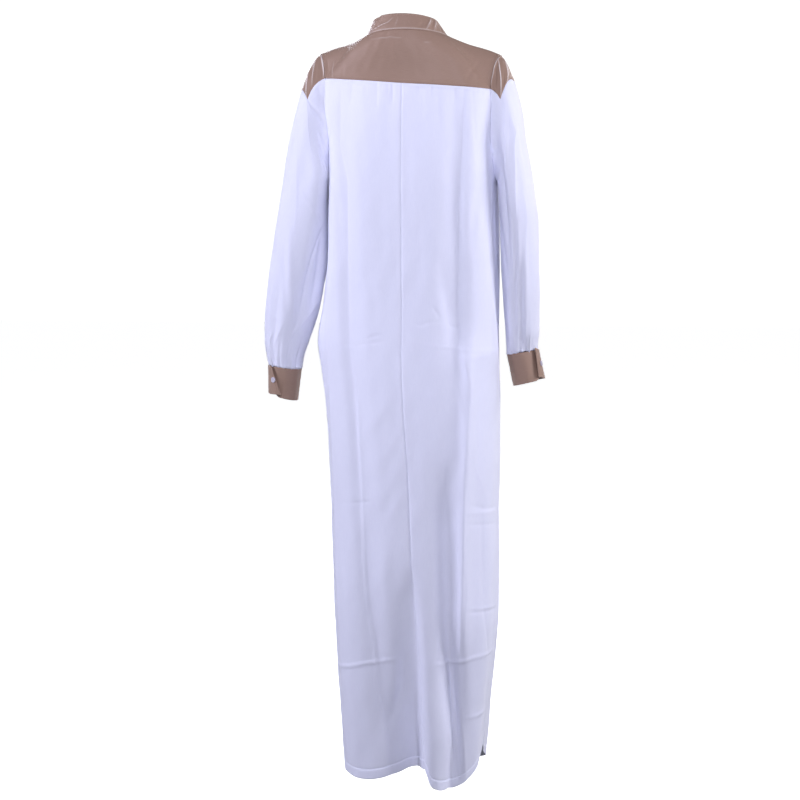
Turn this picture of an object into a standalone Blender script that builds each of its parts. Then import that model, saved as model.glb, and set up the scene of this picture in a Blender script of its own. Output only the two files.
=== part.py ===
"""A thobe robe, worn: white body and sleeves, tan collar, yoke, sleeve heads and cuffs.

Metres, +Z up. The origin is the middle of the neck, level with the shoulders. The wearer faces -Y
and their left arm is at +X. Every cloth piece is a wall with its outer face on one worked-out
surface, so neighbouring pieces meet at their seams.
"""
import bisect
import math

import bpy
from mathutils import Vector

# ---- driving dimensions ----
WALL = 0.002                # cloth wall
BAND_WALL = 0.0024          # collar and cuffs, which are several layers
SEAM_GAP = 0.0003           # between two pieces at a seam
SIDE_SEAM_Y = -0.012        # where the side seams lie, front to back
LEFT = 1
RIGHT = -1
BACK = 1
FRONT = -1

BODY_COLUMNS = 15           # mesh columns from a centre line to a side seam
SKIRT_ROWS = 16             # mesh rows from the underarm to the hem
UNDERARM_STEPS = 9          # mesh rows from a sleeve head's corner to the underarm
HEAD_STEPS = 8              # mesh columns over a sleeve head, corner to corner
HEAD_ROWS = 4               # mesh rows down a sleeve head
SLEEVE_ROWS = 17
NECK_COLUMNS = 6            # mesh columns of each front half that meet the neckline
YOKE_ROWS = BODY_COLUMNS - NECK_COLUMNS

SLIT_TOP = -1.340           # side slits at the hem
SLIT_SPREAD = 0.009         # how far each edge of a side slit swings open

# Height of the hem by its place across a half panel, from the middle at 0 to the side at 1.
HEMS = {
    "back_left": {
        "place": (0.00, 0.09, 0.15, 0.23, 0.30, 0.36, 0.50, 0.58, 0.65, 0.80, 0.93, 1.00),
        "level": (-1.409, -1.4125, -1.4145, -1.421, -1.424, -1.428, -1.433, -1.432, -1.4275,
                  -1.420, -1.411, -1.395),
    },
    "back_right": {
        "place": (0.00, 0.034, 0.065, 0.10, 0.23, 0.43, 0.52, 0.61, 0.74, 0.85, 0.94, 1.00),
        "level": (-1.409, -1.420, -1.435, -1.4425, -1.4485, -1.4495, -1.442, -1.4295, -1.4125,
                  -1.404, -1.395, -1.383),
    },
    "front_left": {
        "place": (0.00, 0.30, 0.60, 0.80, 0.93, 1.00),
        "level": (-1.433, -1.437, -1.434, -1.427, -1.414, -1.396),
    },
    "front_right": {
        "place": (0.00, 0.30, 0.60, 0.80, 0.93, 1.00),
        "level": (-1.433, -1.436, -1.430, -1.417, -1.402, -1.384),
    },
}

# Horizontal sections of the body: half widths to the wearer's left and right, back and front
# limits, and how square the section is (2 is an ellipse).
BODY = {
    "height":     (-0.027, -0.055, -0.080, -0.120, -0.160, -0.200, -0.280, -0.400, -0.500, -0.585,
                   -0.640, -0.703, -0.800, -0.900, -1.020, -1.120, -1.180, -1.240, -1.300, -1.370,
                   -1.450),
    "left":       (0.1780, 0.1810, 0.1830, 0.1790, 0.1680, 0.1590, 0.1570, 0.1600, 0.1710, 0.1850,
                   0.1780, 0.1690, 0.1615, 0.1570, 0.1535, 0.1500, 0.1465, 0.1430, 0.1385, 0.1330,
                   0.1260),
    "right":      (0.1700, 0.1750, 0.1800, 0.1790, 0.1730, 0.1660, 0.1650, 0.1680, 0.1690, 0.1695,
                   0.1705, 0.1720, 0.1720, 0.1700, 0.1715, 0.1710, 0.1670, 0.1600, 0.1530, 0.1450,
                   0.1330),
    "back":       (0.0700, 0.0780, 0.0840, 0.0910, 0.0950, 0.0970, 0.0980, 0.0960, 0.0950, 0.0970,
                   0.0990, 0.1010, 0.1030, 0.1040, 0.1050, 0.1060, 0.1060, 0.1060, 0.1060, 0.1060,
                   0.1060),
    "front":      (-0.0640, -0.0780, -0.0900, -0.1060, -0.1140, -0.1190, -0.1240, -0.1220, -0.1180,
                   -0.1160, -0.1160, -0.1160, -0.1150, -0.1140, -0.1130, -0.1120, -0.1120, -0.1110,
                   -0.1110, -0.1100, -0.1100),
    "squareness": (2.00, 2.00, 2.05, 2.35, 2.80, 3.20, 3.50, 3.30, 2.90, 2.60,
                   2.60, 2.70, 2.80, 2.80, 2.80, 2.80, 2.80, 2.80, 2.75, 2.70,
                   2.60),
}

# The back seam drifts to the wearer's right as it falls into a fold.
BACK_SEAM = {
    "height": (-0.10, -0.60, -0.69, -0.88, -1.10, -1.25, -1.35, -1.45),
    "across": (0.000, -0.001, -0.004, -0.016, -0.026, -0.038, -0.043, -0.050),
}

# Soft folds of the body. "across" is the distance round the cloth from the middle, positive to the
# wearer's left. Depths are outwards, so troughs are negative. near and far are the widths of
# the fold's flank towards the wearer's left and right.
FOLDS = (
    # face,  top,    across, bottom, across, depth top, depth low, left width, right width
    (BACK,  -0.12,  0.118,  -0.62,  0.098,  -0.006, -0.007, 0.020, 0.020),
    (BACK,  -0.62,  0.098,  -1.36,  0.038,  -0.007, -0.010, 0.018, 0.024),
    (BACK,  -0.12, -0.104,  -0.60, -0.106,  -0.007, -0.010, 0.026, 0.018),
    (BACK,  -0.60, -0.130,  -1.20, -0.118,   0.010,  0.009, 0.013, 0.016),
    (BACK,  -0.86, -0.088,  -1.30, -0.100,  -0.014, -0.016, 0.024, 0.014),
    (BACK,  -1.16, -0.110,  -1.60, -0.108,  -0.012, -0.022, 0.018, 0.016),
    (BACK,  -1.02, -0.016,  -1.80, -0.036,  -0.002, -0.096, 0.046, 0.018),
    (BACK,  -1.00,  0.120,  -1.80,  0.105,   0.004,  0.012, 0.030, 0.034),
    (BACK,  -1.05, -0.165,  -1.80, -0.150,   0.004,  0.010, 0.024, 0.024),
    (FRONT, -0.34,  0.110,  -1.80,  0.060,  -0.005, -0.026, 0.028, 0.022),
    (FRONT, -0.30, -0.095,  -1.80, -0.085,  -0.004, -0.024, 0.022, 0.030),
    (FRONT, -0.70,  0.018,  -1.80,  0.000,   0.004,  0.020, 0.032, 0.026),
    (FRONT, -0.80, -0.160,  -1.80, -0.135,   0.005,  0.014, 0.024, 0.024),
    (FRONT, -0.76,  0.170,  -1.80,  0.130,   0.004,  0.012, 0.024, 0.026),
    (FRONT, -0.95, -0.040,  -1.80, -0.045,  -0.003, -0.022, 0.018, 0.018),
)
FOLD_FADE = 0.14            # length over which a fold comes in and goes out
SEAM_FADE = 0.035           # width beside a side seam over which folds die out

# Neckline and collar rings, in plan. rise is how far the back stands above the side, and drop is
# how far the front hangs below it.
NECKLINE = {"centre": (0.003, 0.016), "wide": 0.080, "back": 0.069, "front": 0.084,
            "level": -0.0045, "rise": 0.0115, "drop": 0.0535}
COLLAR_TOP = {"centre": (0.0075, 0.016), "wide": 0.0625, "back": 0.062, "front": 0.071,
              "level": 0.0265, "rise": 0.0095, "drop": 0.0595}
COLLAR_OPENING = 0.0016     # between the collar's two front ends
COLLAR_CORNER = 0.014       # radius of its front corners
YOKE_FRONT_ANGLE = -35.0    # where the forward seams meet the neckline, degrees round from the side
YOKE_SIDE_ANGLE = 30.0      # neckline angle that faces the back corner of an armhole

# The armholes: an upright oval seen from the side. corner is where the yoke seams reach it,
# in degrees from its top.
ARMHOLES = {
    LEFT:  {"top": -0.027, "bottom": -0.274, "half_depth": 0.056, "corner": 54.0},
    RIGHT: {"top": -0.037, "bottom": -0.274, "half_depth": 0.056, "corner": 64.0},
}
BACK_SEAM_DIP = -0.0935     # the yoke's back seam at its middle

# Sleeve rings, from the armhole to the cuff. Each ring runs from an outer point to an inner one.
SLEEVES = {
    LEFT: {
        "outer_x":    (0.178, 0.187, 0.196, 0.204, 0.212, 0.220, 0.229, 0.238, 0.246, 0.252, 0.258,
                       0.268, 0.279, 0.288, 0.294, 0.2945, 0.2900, 0.2850),
        "outer_z":    (-0.027, -0.033, -0.045, -0.061, -0.081, -0.106, -0.140, -0.182, -0.225, -0.262,
                       -0.296, -0.349, -0.420, -0.485, -0.540, -0.586, -0.618, -0.635),
        "inner_x":    (0.1580, 0.1588, 0.1597, 0.1605, 0.1613, 0.1620, 0.1626, 0.1630, 0.1634, 0.1638,
                       0.1642, 0.1650, 0.1680, 0.1765, 0.1890, 0.2060, 0.2180, 0.2220),
        "inner_z":    (-0.272, -0.2721, -0.2725, -0.2733, -0.2745, -0.276, -0.279, -0.283, -0.290,
                       -0.299, -0.312, -0.350, -0.415, -0.480, -0.538, -0.586, -0.622, -0.643),
        "middle_y":   (-0.012, -0.011, -0.010, -0.009, -0.008, -0.007, -0.006, -0.005, -0.004, -0.003,
                       -0.002, 0.000, 0.001, 0.001, 0.000, -0.001, -0.001, -0.001),
        "half_depth": (0.056, 0.0575, 0.059, 0.0605, 0.062, 0.063, 0.0635, 0.063, 0.062, 0.061, 0.060,
                       0.058, 0.056, 0.0535, 0.050, 0.046, 0.041, 0.037),
    },
    RIGHT: {
        "outer_x":    (0.170, 0.179, 0.188, 0.195, 0.202, 0.209, 0.216, 0.221, 0.229, 0.235, 0.240,
                       0.246, 0.247, 0.247, 0.245, 0.243, 0.2395, 0.2380),
        "outer_z":    (-0.037, -0.045, -0.060, -0.076, -0.094, -0.118, -0.150, -0.190, -0.233, -0.270,
                       -0.302, -0.352, -0.420, -0.480, -0.530, -0.570, -0.592, -0.603),
        "inner_x":    (0.1655, 0.1664, 0.1673, 0.1681, 0.1688, 0.1694, 0.1700, 0.1705, 0.1710, 0.1714,
                       0.1718, 0.1728, 0.1742, 0.1752, 0.1762, 0.1776, 0.1782, 0.1785),
        "inner_z":    (-0.276, -0.2761, -0.2765, -0.2773, -0.2785, -0.280, -0.283, -0.287, -0.294,
                       -0.303, -0.316, -0.354, -0.419, -0.478, -0.528, -0.572, -0.600, -0.613),
        "middle_y":   (-0.012, -0.011, -0.010, -0.009, -0.008, -0.007, -0.006, -0.006, -0.006, -0.007,
                       -0.008, -0.012, -0.020, -0.032, -0.045, -0.057, -0.065, -0.069),
        "half_depth": (0.056, 0.0575, 0.059, 0.0605, 0.062, 0.063, 0.0635, 0.063, 0.062, 0.061, 0.060,
                       0.058, 0.056, 0.0535, 0.050, 0.046, 0.041, 0.037),
    },
}
LOOP_REACH = 3.0            # rings over which the armhole's own shape fades into the tube
LAST_RING = 17

# The sleeve heads' lower edge: its two tips and the notch between them, in ring angle and ring.
HEADS = {
    LEFT:  {"tip_angle": 61.0, "tip_ring": 3.3, "notch_ring": 5.2},
    RIGHT: {"tip_angle": 66.5, "tip_ring": 1.95, "notch_ring": 3.7},
}

# Soft creases of the sleeves: ring angle 0 is outermost, 90 the back, 180 the inside, 270 the front.
SLEEVE_FOLDS = (
    # side,  ring, angle, ring, angle, depth, width in degrees
    (LEFT,   1.0,  96.0, 10.5,  92.0, -0.0045, 14.0),
    (LEFT,  10.0, 150.0, 15.5, 108.0, -0.0060, 16.0),
    (LEFT,  12.0,  70.0, 17.5,  62.0, -0.0050, 12.0),
    (LEFT,   3.0,  45.0, 12.0,  40.0,  0.0035, 12.0),
    (LEFT,   9.0, 300.0, 16.0, 262.0, -0.0060, 18.0),
    (RIGHT,  1.0, 120.0, 12.5, 122.0, -0.0060, 16.0),
    (RIGHT,  2.0,  52.0, 11.5,  50.0,  0.0045, 12.0),
    (RIGHT, 12.0,  84.0, 17.5,  76.0, -0.0050, 12.0),
    (RIGHT, 12.5, 120.0, 17.5, 116.0,  0.0040, 14.0),
    (RIGHT,  9.0, 300.0, 16.0, 265.0, -0.0060, 18.0),
)
CUFF_SLIT_RINGS = 2.0       # rings that the slit above the cuff reaches up
CUFF_SLIT_ANGLE = 52.0
CUFF_SLIT_OPEN = 4.0        # degrees that it stands open at the cuff

# Cuffs: the lower ring, and the angles at which the strip starts and its upper flap ends.
CUFFS = {
    LEFT: {
        "outer": (0.2850, -0.689), "inner": (0.2300, -0.7040), "middle_y": -0.002, "half_depth": 0.034,
        "start": 46.0, "flap_top": 53.0, "flap_low": 98.0, "button": 68.0,
    },
    RIGHT: {
        "outer": (0.2495, -0.660), "inner": (0.1900, -0.6740), "middle_y": -0.080, "half_depth": 0.034,
        "start": 8.0, "flap_top": 33.0, "flap_low": 46.0, "button": 18.0,
    },
}
FLAP_STANDS_OFF = 0.0075    # how far a flap's free end stands off the strip below it
FLAP_LIFT = 0.006           # how far it rides up
CUFF_STEPS = 26
BUTTON_RADIUS = 0.0055
BUTTON_THICKNESS = 0.0022

PLACKET_WIDTH = 0.032
PLACKET_LENGTH = 0.290
PLACKET_WALL = 0.0015
PLACKET_BUTTONS = 4
BUTTON_SPACING = 0.068

WHITE = (0.82, 0.82, 0.90, 1.0)
TAN = (0.27, 0.20, 0.16, 1.0)
PEARL = (0.80, 0.79, 0.78, 1.0)


# ---- small helpers ----
def smooth_step(value):
    """0 below 0, 1 above 1, and an even rise between."""
    value = min(max(value, 0.0), 1.0)
    return value * value * (3.0 - 2.0 * value)


def mix(start, end, amount):
    return start + (end - start) * amount


def curve_through(keys, values):
    """A function that runs smoothly through the values at the keys and never overshoots them."""
    pairs = sorted(zip(keys, values))
    places = [pair[0] for pair in pairs]
    heights = [pair[1] for pair in pairs]
    slopes = [(heights[i + 1] - heights[i]) / (places[i + 1] - places[i]) for i in range(len(pairs) - 1)]
    tangents = [slopes[0]]
    for before, after in zip(slopes, slopes[1:]):
        tangents.append(0.0 if before * after <= 0.0 else 2.0 * before * after / (before + after))
    tangents.append(slopes[-1])

    def curve(place):
        if place <= places[0]:
            return heights[0] + tangents[0] * max(place - places[0], -0.02)
        if place >= places[-1]:
            return heights[-1] + tangents[-1] * min(place - places[-1], 0.02)
        i = bisect.bisect_right(places, place) - 1
        span = places[i + 1] - places[i]
        t = (place - places[i]) / span
        rise = (2 * t ** 3 - 3 * t ** 2 + 1) * heights[i] + (3 * t ** 2 - 2 * t ** 3) * heights[i + 1]
        lean = (t ** 3 - 2 * t ** 2 + t) * tangents[i] + (t ** 3 - t ** 2) * tangents[i + 1]
        return rise + lean * span

    return curve


BODY_CURVES = {name: curve_through(BODY["height"], BODY[name]) for name in BODY if name != "height"}
BACK_SEAM_CURVE = curve_through(BACK_SEAM["height"], BACK_SEAM["across"])
SLEEVE_CURVES = {
    side: {name: curve_through(range(LAST_RING + 1), rows[name]) for name in rows}
    for side, rows in SLEEVES.items()
}


# ---- the body's surface ----
SECTION_POINTS = 120
SECTIONS = {}


def quarter_section(side, face, height):
    """Points and running lengths of one quarter of a section, from the middle to the side seam."""
    key = (side, face, round(height, 6))
    if key in SECTIONS:
        return SECTIONS[key]
    half_width = BODY_CURVES["left" if side == LEFT else "right"](height)
    half_depth = abs(BODY_CURVES["back" if face == BACK else "front"](height) - SIDE_SEAM_Y)
    power = 2.0 / BODY_CURVES["squareness"](height)
    points = []
    for i in range(SECTION_POINTS + 1):
        angle = 0.5 * math.pi * i / SECTION_POINTS
        x = side * half_width * math.sin(angle) ** power
        y = SIDE_SEAM_Y + face * half_depth * max(math.cos(angle), 0.0) ** power
        points.append((x, y))
    lengths = [0.0]
    for a, b in zip(points, points[1:]):
        lengths.append(lengths[-1] + math.dist(a, b))
    SECTIONS[key] = (points, lengths)
    return SECTIONS[key]


def section_point(face, across, height):
    """A point on the plain section, a signed distance round it from the middle of a face."""
    side = LEFT if across >= 0.0 else RIGHT
    distance = abs(across)
    points, lengths = quarter_section(side, face, height)
    if distance > lengths[-1]:
        beyond = distance - lengths[-1]
        points, lengths = quarter_section(side, -face, height)
        distance = lengths[-1] - beyond
    i = min(max(bisect.bisect_right(lengths, distance) - 1, 0), len(points) - 2)
    part = (distance - lengths[i]) / (lengths[i + 1] - lengths[i])
    return mix(points[i][0], points[i + 1][0], part), mix(points[i][1], points[i + 1][1], part)


def fold_depth(face, across, height):
    """How far the folds push the cloth outwards at a point."""
    total = 0.0
    for fold_face, top, across_top, low, across_low, depth_top, depth_low, left_width, right_width in FOLDS:
        if fold_face != face:
            continue
        part = (top - height) / (top - low)
        fade = smooth_step((top + FOLD_FADE * 0.5 - height) / FOLD_FADE)
        fade *= smooth_step((height - low + FOLD_FADE * 0.5) / FOLD_FADE)
        if fade == 0.0:
            continue
        offset = across - mix(across_top, across_low, part)
        width = left_width if offset > 0.0 else right_width
        total += mix(depth_top, depth_low, part) * fade * math.exp(-(offset / width) ** 2)
    side = LEFT if across >= 0.0 else RIGHT
    return total * smooth_step((side_length(side, face, height) - abs(across)) / SEAM_FADE)


def body_point(face, across, height):
    """A point of the outer face of the body cloth."""
    step = 0.001
    x, y = section_point(face, across, height)
    x0, y0 = section_point(face, across - step, height)
    x1, y1 = section_point(face, across + step, height)
    length = math.hypot(x1 - x0, y1 - y0)
    depth = fold_depth(face, across, height) * face
    return Vector((x - (y1 - y0) / length * depth, y + (x1 - x0) / length * depth, height))


def side_length(side, face, height):
    """Distance round the section from the middle of a face to the side seam."""
    return quarter_section(side, face, height)[1][-1]


def length_at_depth(side, face, height, y):
    """Distance round the section at which it has come forward, or back, to y."""
    points, lengths = quarter_section(side, face, height)
    for i in range(len(points) - 1):
        if (points[i + 1][1] - y) * face <= 0.0:
            part = (points[i][1] - y) / (points[i][1] - points[i + 1][1])
            return mix(lengths[i], lengths[i + 1], part)
    return lengths[-1]


# ---- armholes ----
def armhole_yz(side, angle):
    """Side view of an armhole; angle in degrees from its top, positive towards the back."""
    hole = ARMHOLES[side]
    middle = 0.5 * (hole["top"] + hole["bottom"])
    half_height = 0.5 * (hole["top"] - hole["bottom"])
    turn = math.radians(angle)
    y = SIDE_SEAM_Y + hole["half_depth"] * math.sin(turn)
    return y, middle + half_height * math.cos(turn)


def armhole_point(side, angle):
    y, z = armhole_yz(side, angle)
    face = BACK if angle >= 0.0 else FRONT
    across = side * length_at_depth(side, face, z, y)
    return body_point(face, across, z)


def armhole_angle(side, height):
    hole = ARMHOLES[side]
    middle = 0.5 * (hole["top"] + hole["bottom"])
    half_height = 0.5 * (hole["top"] - hole["bottom"])
    return math.degrees(math.acos(min(max((height - middle) / half_height, -1.0), 1.0)))


def edge_across(side, face, height):
    """Where a body panel ends: at the armhole, or below it at the side seam."""
    hole = ARMHOLES[side]
    if height <= hole["bottom"]:
        return side * side_length(side, face, height)
    angle = armhole_angle(side, height) * face
    return side * length_at_depth(side, face, height, armhole_yz(side, angle)[0])


# ---- making solids ----
def material(name, colour, roughness):
    made = bpy.data.materials.new(name)
    made.use_nodes = True
    shader = made.node_tree.nodes["Principled BSDF"]
    shader.inputs["Base Color"].default_value = colour
    shader.inputs["Roughness"].default_value = roughness
    shader.inputs["Metallic"].default_value = 0.0
    return made


def add_object(name, verts, faces, finish):
    mesh = bpy.data.meshes.new(name)
    mesh.from_pydata([tuple(v) for v in verts], [], faces)
    mesh.materials.append(finish)
    mesh.shade_smooth()
    mesh.set_sharp_from_angle(angle=math.radians(50.0))
    made = bpy.data.objects.new(name, mesh)
    bpy.context.scene.collection.objects.link(made)
    return made


def face_normal(points, face):
    """Normal of a face, as long as twice its area."""
    first = points[face[0]]
    total = Vector((0.0, 0.0, 0.0))
    for i, j in zip(face[1:], face[2:]):
        total += (points[i] - first).cross(points[j] - first)
    return total


RIM_SPLIT = Vector((0.37, 0.21, 1.0))


def thick_sheet(name, points, normals, faces, wall, finish):
    """A closed wall: the sheet is its outer face, and its inner face lies a wall's depth inside.

    Inner faces keep the outer ones' first corner, so both split along the same diagonal, and the
    facing rims of two pieces at a seam split alike too.
    """
    count = len(points)
    facing = sum(face_normal(points, face).dot(normals[face[0]]) for face in faces)
    if facing < 0.0:
        faces = [tuple(reversed(face)) for face in faces]
    verts = list(points) + [p - n * wall for p, n in zip(points, normals)]
    solid = list(faces)
    solid += [tuple(i + count for i in face[:1] + face[:0:-1]) for face in faces]
    edges = {}
    for face in faces:
        for a, b in zip(face, face[1:] + face[:1]):
            edges[(a, b)] = True
    for a, b in edges:
        if (b, a) in edges:
            continue
        if points[a].dot(RIM_SPLIT) < points[b].dot(RIM_SPLIT):
            solid.append((a, a + count, b + count, b))
        else:
            solid.append((b, a, a + count, b + count))
    return add_object(name, verts, solid, finish)


def surface_normal(surface, u, v, outward):
    """Normal of a surface by small steps along both of its parameters."""
    step = 1e-3
    along = surface(u + step, v) - surface(u - step, v)
    down = surface(u, v + step) - surface(u, v - step)
    normal = along.cross(down).normalized()
    return -normal if normal.dot(outward) < 0.0 else normal


def grid_faces(columns, rows, index):
    faces = []
    for row in range(rows):
        for column in range(columns):
            faces.append((
                index(column, row), index(column + 1, row), index(column + 1, row + 1), index(column, row + 1)))
    return faces


def inset(place, low_gap, high_gap):
    """Keep a fraction of a panel just inside its two edges."""
    return min(max(place, low_gap), 1.0 - high_gap)


# ---- body panels ----
HEM_CURVES = {name: curve_through(hem["place"], hem["level"]) for name, hem in HEMS.items()}


def hem_level(face, side, place):
    """Height of the hem; place is 0 at the middle of the panel's face and 1 at the side seam."""
    name = ("back" if face == BACK else "front") + ("_left" if side == LEFT else "_right")
    return HEM_CURVES[name](min(max(place, 0.0), 1.0))


def back_seam_level(side, place):
    """Height of the yoke's straight back seam; place is 0 at its middle and 1 at the armhole."""
    ends = armhole_yz(side, ARMHOLES[side]["corner"])[1]
    return mix(BACK_SEAM_DIP, ends, place)


def row_angles(side):
    """Armhole angles of the panel rows, from the yoke's corner down to the underarm."""
    corner = ARMHOLES[side]["corner"]
    return [mix(corner, 180.0, i / UNDERARM_STEPS) for i in range(UNDERARM_STEPS + 1)]


def armhole_fraction(side, row):
    """How far a row lies down an armhole, from the yoke's corner to the underarm."""
    hole = ARMHOLES[side]
    corner = armhole_yz(side, hole["corner"])[1]
    height = armhole_yz(side, mix(hole["corner"], 180.0, row / UNDERARM_STEPS))[1]
    return (corner - height) / (corner - hole["bottom"])


def row_fraction(side, row, place):
    """How far down a row lies: 0 at the top, 1 at the underarm, 2 at the hem.

    The two sides agree at the middle of the body, and each meets its own armhole.
    """
    if row >= UNDERARM_STEPS:
        return 1.0 + (row - UNDERARM_STEPS) / SKIRT_ROWS
    middle = 0.5 * (armhole_fraction(LEFT, row) + armhole_fraction(RIGHT, row))
    return mix(middle, armhole_fraction(side, row), smooth_step(place))


def slit_swing(height):
    """How far each edge of a side slit stands open at a height."""
    return SLIT_SPREAD * smooth_step((SLIT_TOP - height) / 0.08)


def panel_height(side, face, place, row, top_level):
    fraction = row_fraction(side, row, place)
    underarm = ARMHOLES[side]["bottom"]
    if fraction <= 1.0:
        return mix(top_level(place), underarm, fraction)
    return mix(underarm, hem_level(face, side, place), fraction - 1.0)


def back_surface(side):
    """The back panel of one side, by fraction across and mesh row."""
    def surface(place, row):
        height = panel_height(side, BACK, place, row, lambda p: back_seam_level(side, p))
        start = BACK_SEAM_CURVE(height)
        end = edge_across(side, BACK, height) - side * slit_swing(height)
        return body_point(BACK, mix(start, end, place), height)
    return surface


def add_back_panel(name, side, finish):
    surface = back_surface(side)
    rows = UNDERARM_STEPS + SKIRT_ROWS
    gap = 0.5 * SEAM_GAP / 0.22
    points = []
    normals = []
    for row in range(rows + 1):
        for column in range(BODY_COLUMNS + 1):
            below_armhole = row >= UNDERARM_STEPS
            place = inset(column / BODY_COLUMNS, gap, gap if below_armhole else 0.0)
            down = row + (0.004 if row == 0 else 0.0)
            point = surface(place, down)
            points.append(point)
            normals.append(surface_normal(surface, place, down, Vector((point.x, point.y + 0.02, 0.0))))
    index = lambda column, row: row * (BODY_COLUMNS + 1) + column
    return thick_sheet(name, points, normals, grid_faces(BODY_COLUMNS, rows, index), WALL, finish)


def neck_point(ring, angle):
    """A point of a neck ring; angle in degrees, 0 at the wearer's left side, 90 at the back."""
    turn = math.radians(angle)
    back = math.sin(turn)
    depth = ring["back"] if back > 0.0 else ring["front"]
    level = ring["level"] + ring["rise"] * max(back, 0.0) - ring["drop"] * max(-back, 0.0) ** 1.6
    return Vector((ring["centre"][0] + ring["wide"] * math.cos(turn), ring["centre"][1] + depth * back, level))


NECK_SHARE = NECK_COLUMNS / BODY_COLUMNS


def arch_normal(side, angle):
    """Which way the cloth faces along the top of an armhole."""
    turn = math.radians(angle)
    across = 0.45 + (0.30 if angle > 0.0 else -0.25) * math.sin(turn) ** 2
    return Vector((side * across, 0.95 * math.sin(turn), 0.95 * math.cos(turn) + 0.1)).normalized()


def neck_normal(angle):
    """Which way the yoke faces at the neckline."""
    turn = math.radians(angle)
    across = 0.40 * math.cos(turn)
    return Vector((across, 0.95 * math.sin(turn), 0.34 + 0.58 * math.cos(turn) ** 2)).normalized()


def yoke_point(angle, end, end_normal, t):
    """A point of the smooth curve from the neckline out to a point of the yoke's outer edge."""
    start = neck_point(NECKLINE, angle)
    start_normal = neck_normal(angle)
    chord = end - start
    leave = (chord - start_normal * chord.dot(start_normal)).normalized() * chord.length
    arrive = (chord - end_normal * chord.dot(end_normal)).normalized() * chord.length
    point = start * (2 * t ** 3 - 3 * t ** 2 + 1) + end * (3 * t ** 2 - 2 * t ** 3)
    return point + leave * (t ** 3 - 2 * t ** 2 + t) + arrive * (t ** 3 - t ** 2)


def front_top_point(side, place):
    """The front's top edge: the neckline from the middle, then the forward seam to the armhole."""
    if place < NECK_SHARE:
        angle = mix(-90.0, YOKE_FRONT_ANGLE, place / NECK_SHARE)
        point = neck_point(NECKLINE, angle if side == LEFT else 180.0 - angle)
        return point
    corner = -ARMHOLES[side]["corner"]
    angle = YOKE_FRONT_ANGLE if side == LEFT else 180.0 - YOKE_FRONT_ANGLE
    part = (place - NECK_SHARE) / (1.0 - NECK_SHARE)
    return yoke_point(angle, armhole_point(side, corner), arch_normal(side, corner), part)


def front_surface(side):
    """The front panel of one side, by fraction across and mesh row."""
    corner_level = armhole_yz(side, ARMHOLES[side]["corner"])[1]

    def plain(place, height):
        end = edge_across(side, FRONT, min(height, corner_level)) - side * slit_swing(height)
        return body_point(FRONT, place * end, height)

    def surface(place, row):
        inside = min(max(place, 0.0), 1.0)
        top = front_top_point(side, inside)
        height = panel_height(side, FRONT, place, row, lambda p: front_top_point(side, min(max(p, 0.0), 1.0)).z)
        base = plain(place, height)
        fraction = row_fraction(side, row, place)
        if fraction < 0.6:
            shift = top - plain(inside, top.z)
            base += Vector((shift.x, shift.y, 0.0)) * (1.0 - smooth_step(fraction / 0.6))
        return base
    return surface


def add_front(name, finish):
    """One front panel, slit down its middle from the neckline so that the head can pass."""
    rows = UNDERARM_STEPS + SKIRT_ROWS
    gap = 0.5 * SEAM_GAP / 0.22
    surfaces = {side: front_surface(side) for side in (LEFT, RIGHT)}
    slit_rows = [row for row in range(rows) if surfaces[LEFT](0.0, row).z > -PLACKET_LENGTH]
    slit_end = len(slit_rows)
    points = []
    normals = []
    indices = {}
    for side in (LEFT, RIGHT):
        surface = surfaces[side]
        for row in range(rows + 1):
            for column in range(BODY_COLUMNS + 1):
                if column == 0 and row >= slit_end and side == RIGHT:
                    indices[(side, column, row)] = indices[(LEFT, column, row)]
                    continue
                below_armhole = row >= UNDERARM_STEPS
                low_gap = gap if row < slit_end else 0.0
                place = inset(column / BODY_COLUMNS, low_gap, gap if below_armhole else 0.0)
                down = row + (0.004 if row == 0 else 0.0)
                point = surface(place, down)
                toward = Vector((point.x, point.y - 0.02, 0.0))
                inside = min(max(place, 2e-3), 1.0 - 1e-9)
                indices[(side, column, row)] = len(points)
                points.append(point)
                normals.append(surface_normal(surface, inside, down, toward))
    faces = []
    for side in (LEFT, RIGHT):
        index = lambda column, row: indices[(side, column, row)]
        panel = grid_faces(BODY_COLUMNS, rows, index)
        faces += panel if side == LEFT else [tuple(reversed(face)) for face in panel]
    return thick_sheet(name, points, normals, faces, WALL, finish)


# ---- yoke ----
def yoke_outline():
    """The yoke's outer edge, from the front of the left armhole round the back to the right one."""
    outline = []
    left_corner = ARMHOLES[LEFT]["corner"]
    right_corner = ARMHOLES[RIGHT]["corner"]
    for i in range(HEAD_STEPS):
        angle = mix(-left_corner, left_corner, i / HEAD_STEPS)
        outline.append((armhole_point(LEFT, angle), arch_normal(LEFT, angle), "arch"))
    for side, columns in ((LEFT, range(BODY_COLUMNS, 0, -1)), (RIGHT, range(0, BODY_COLUMNS + 1))):
        surface = back_surface(side)
        for column in columns:
            place = column / BODY_COLUMNS
            point = surface(place, 0.0)
            normal = surface_normal(surface, min(place, 1.0 - 1e-9), 0.004, Vector((point.x, point.y + 0.02, 0)))
            outline.append((point, normal, "seam"))
    for i in range(1, HEAD_STEPS + 1):
        angle = mix(right_corner, -right_corner, i / HEAD_STEPS)
        outline.append((armhole_point(RIGHT, angle), arch_normal(RIGHT, angle), "arch"))
    return outline


def yoke_neck_angle():
    """The neckline angle of each of the yoke's mesh columns."""
    back_columns = 2 * BODY_COLUMNS
    keys = (0, HEAD_STEPS, HEAD_STEPS + back_columns, 2 * HEAD_STEPS + back_columns)
    angles = (YOKE_FRONT_ANGLE, YOKE_SIDE_ANGLE, 180.0 - YOKE_SIDE_ANGLE, 180.0 - YOKE_FRONT_ANGLE)
    return curve_through(keys, angles)


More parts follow.
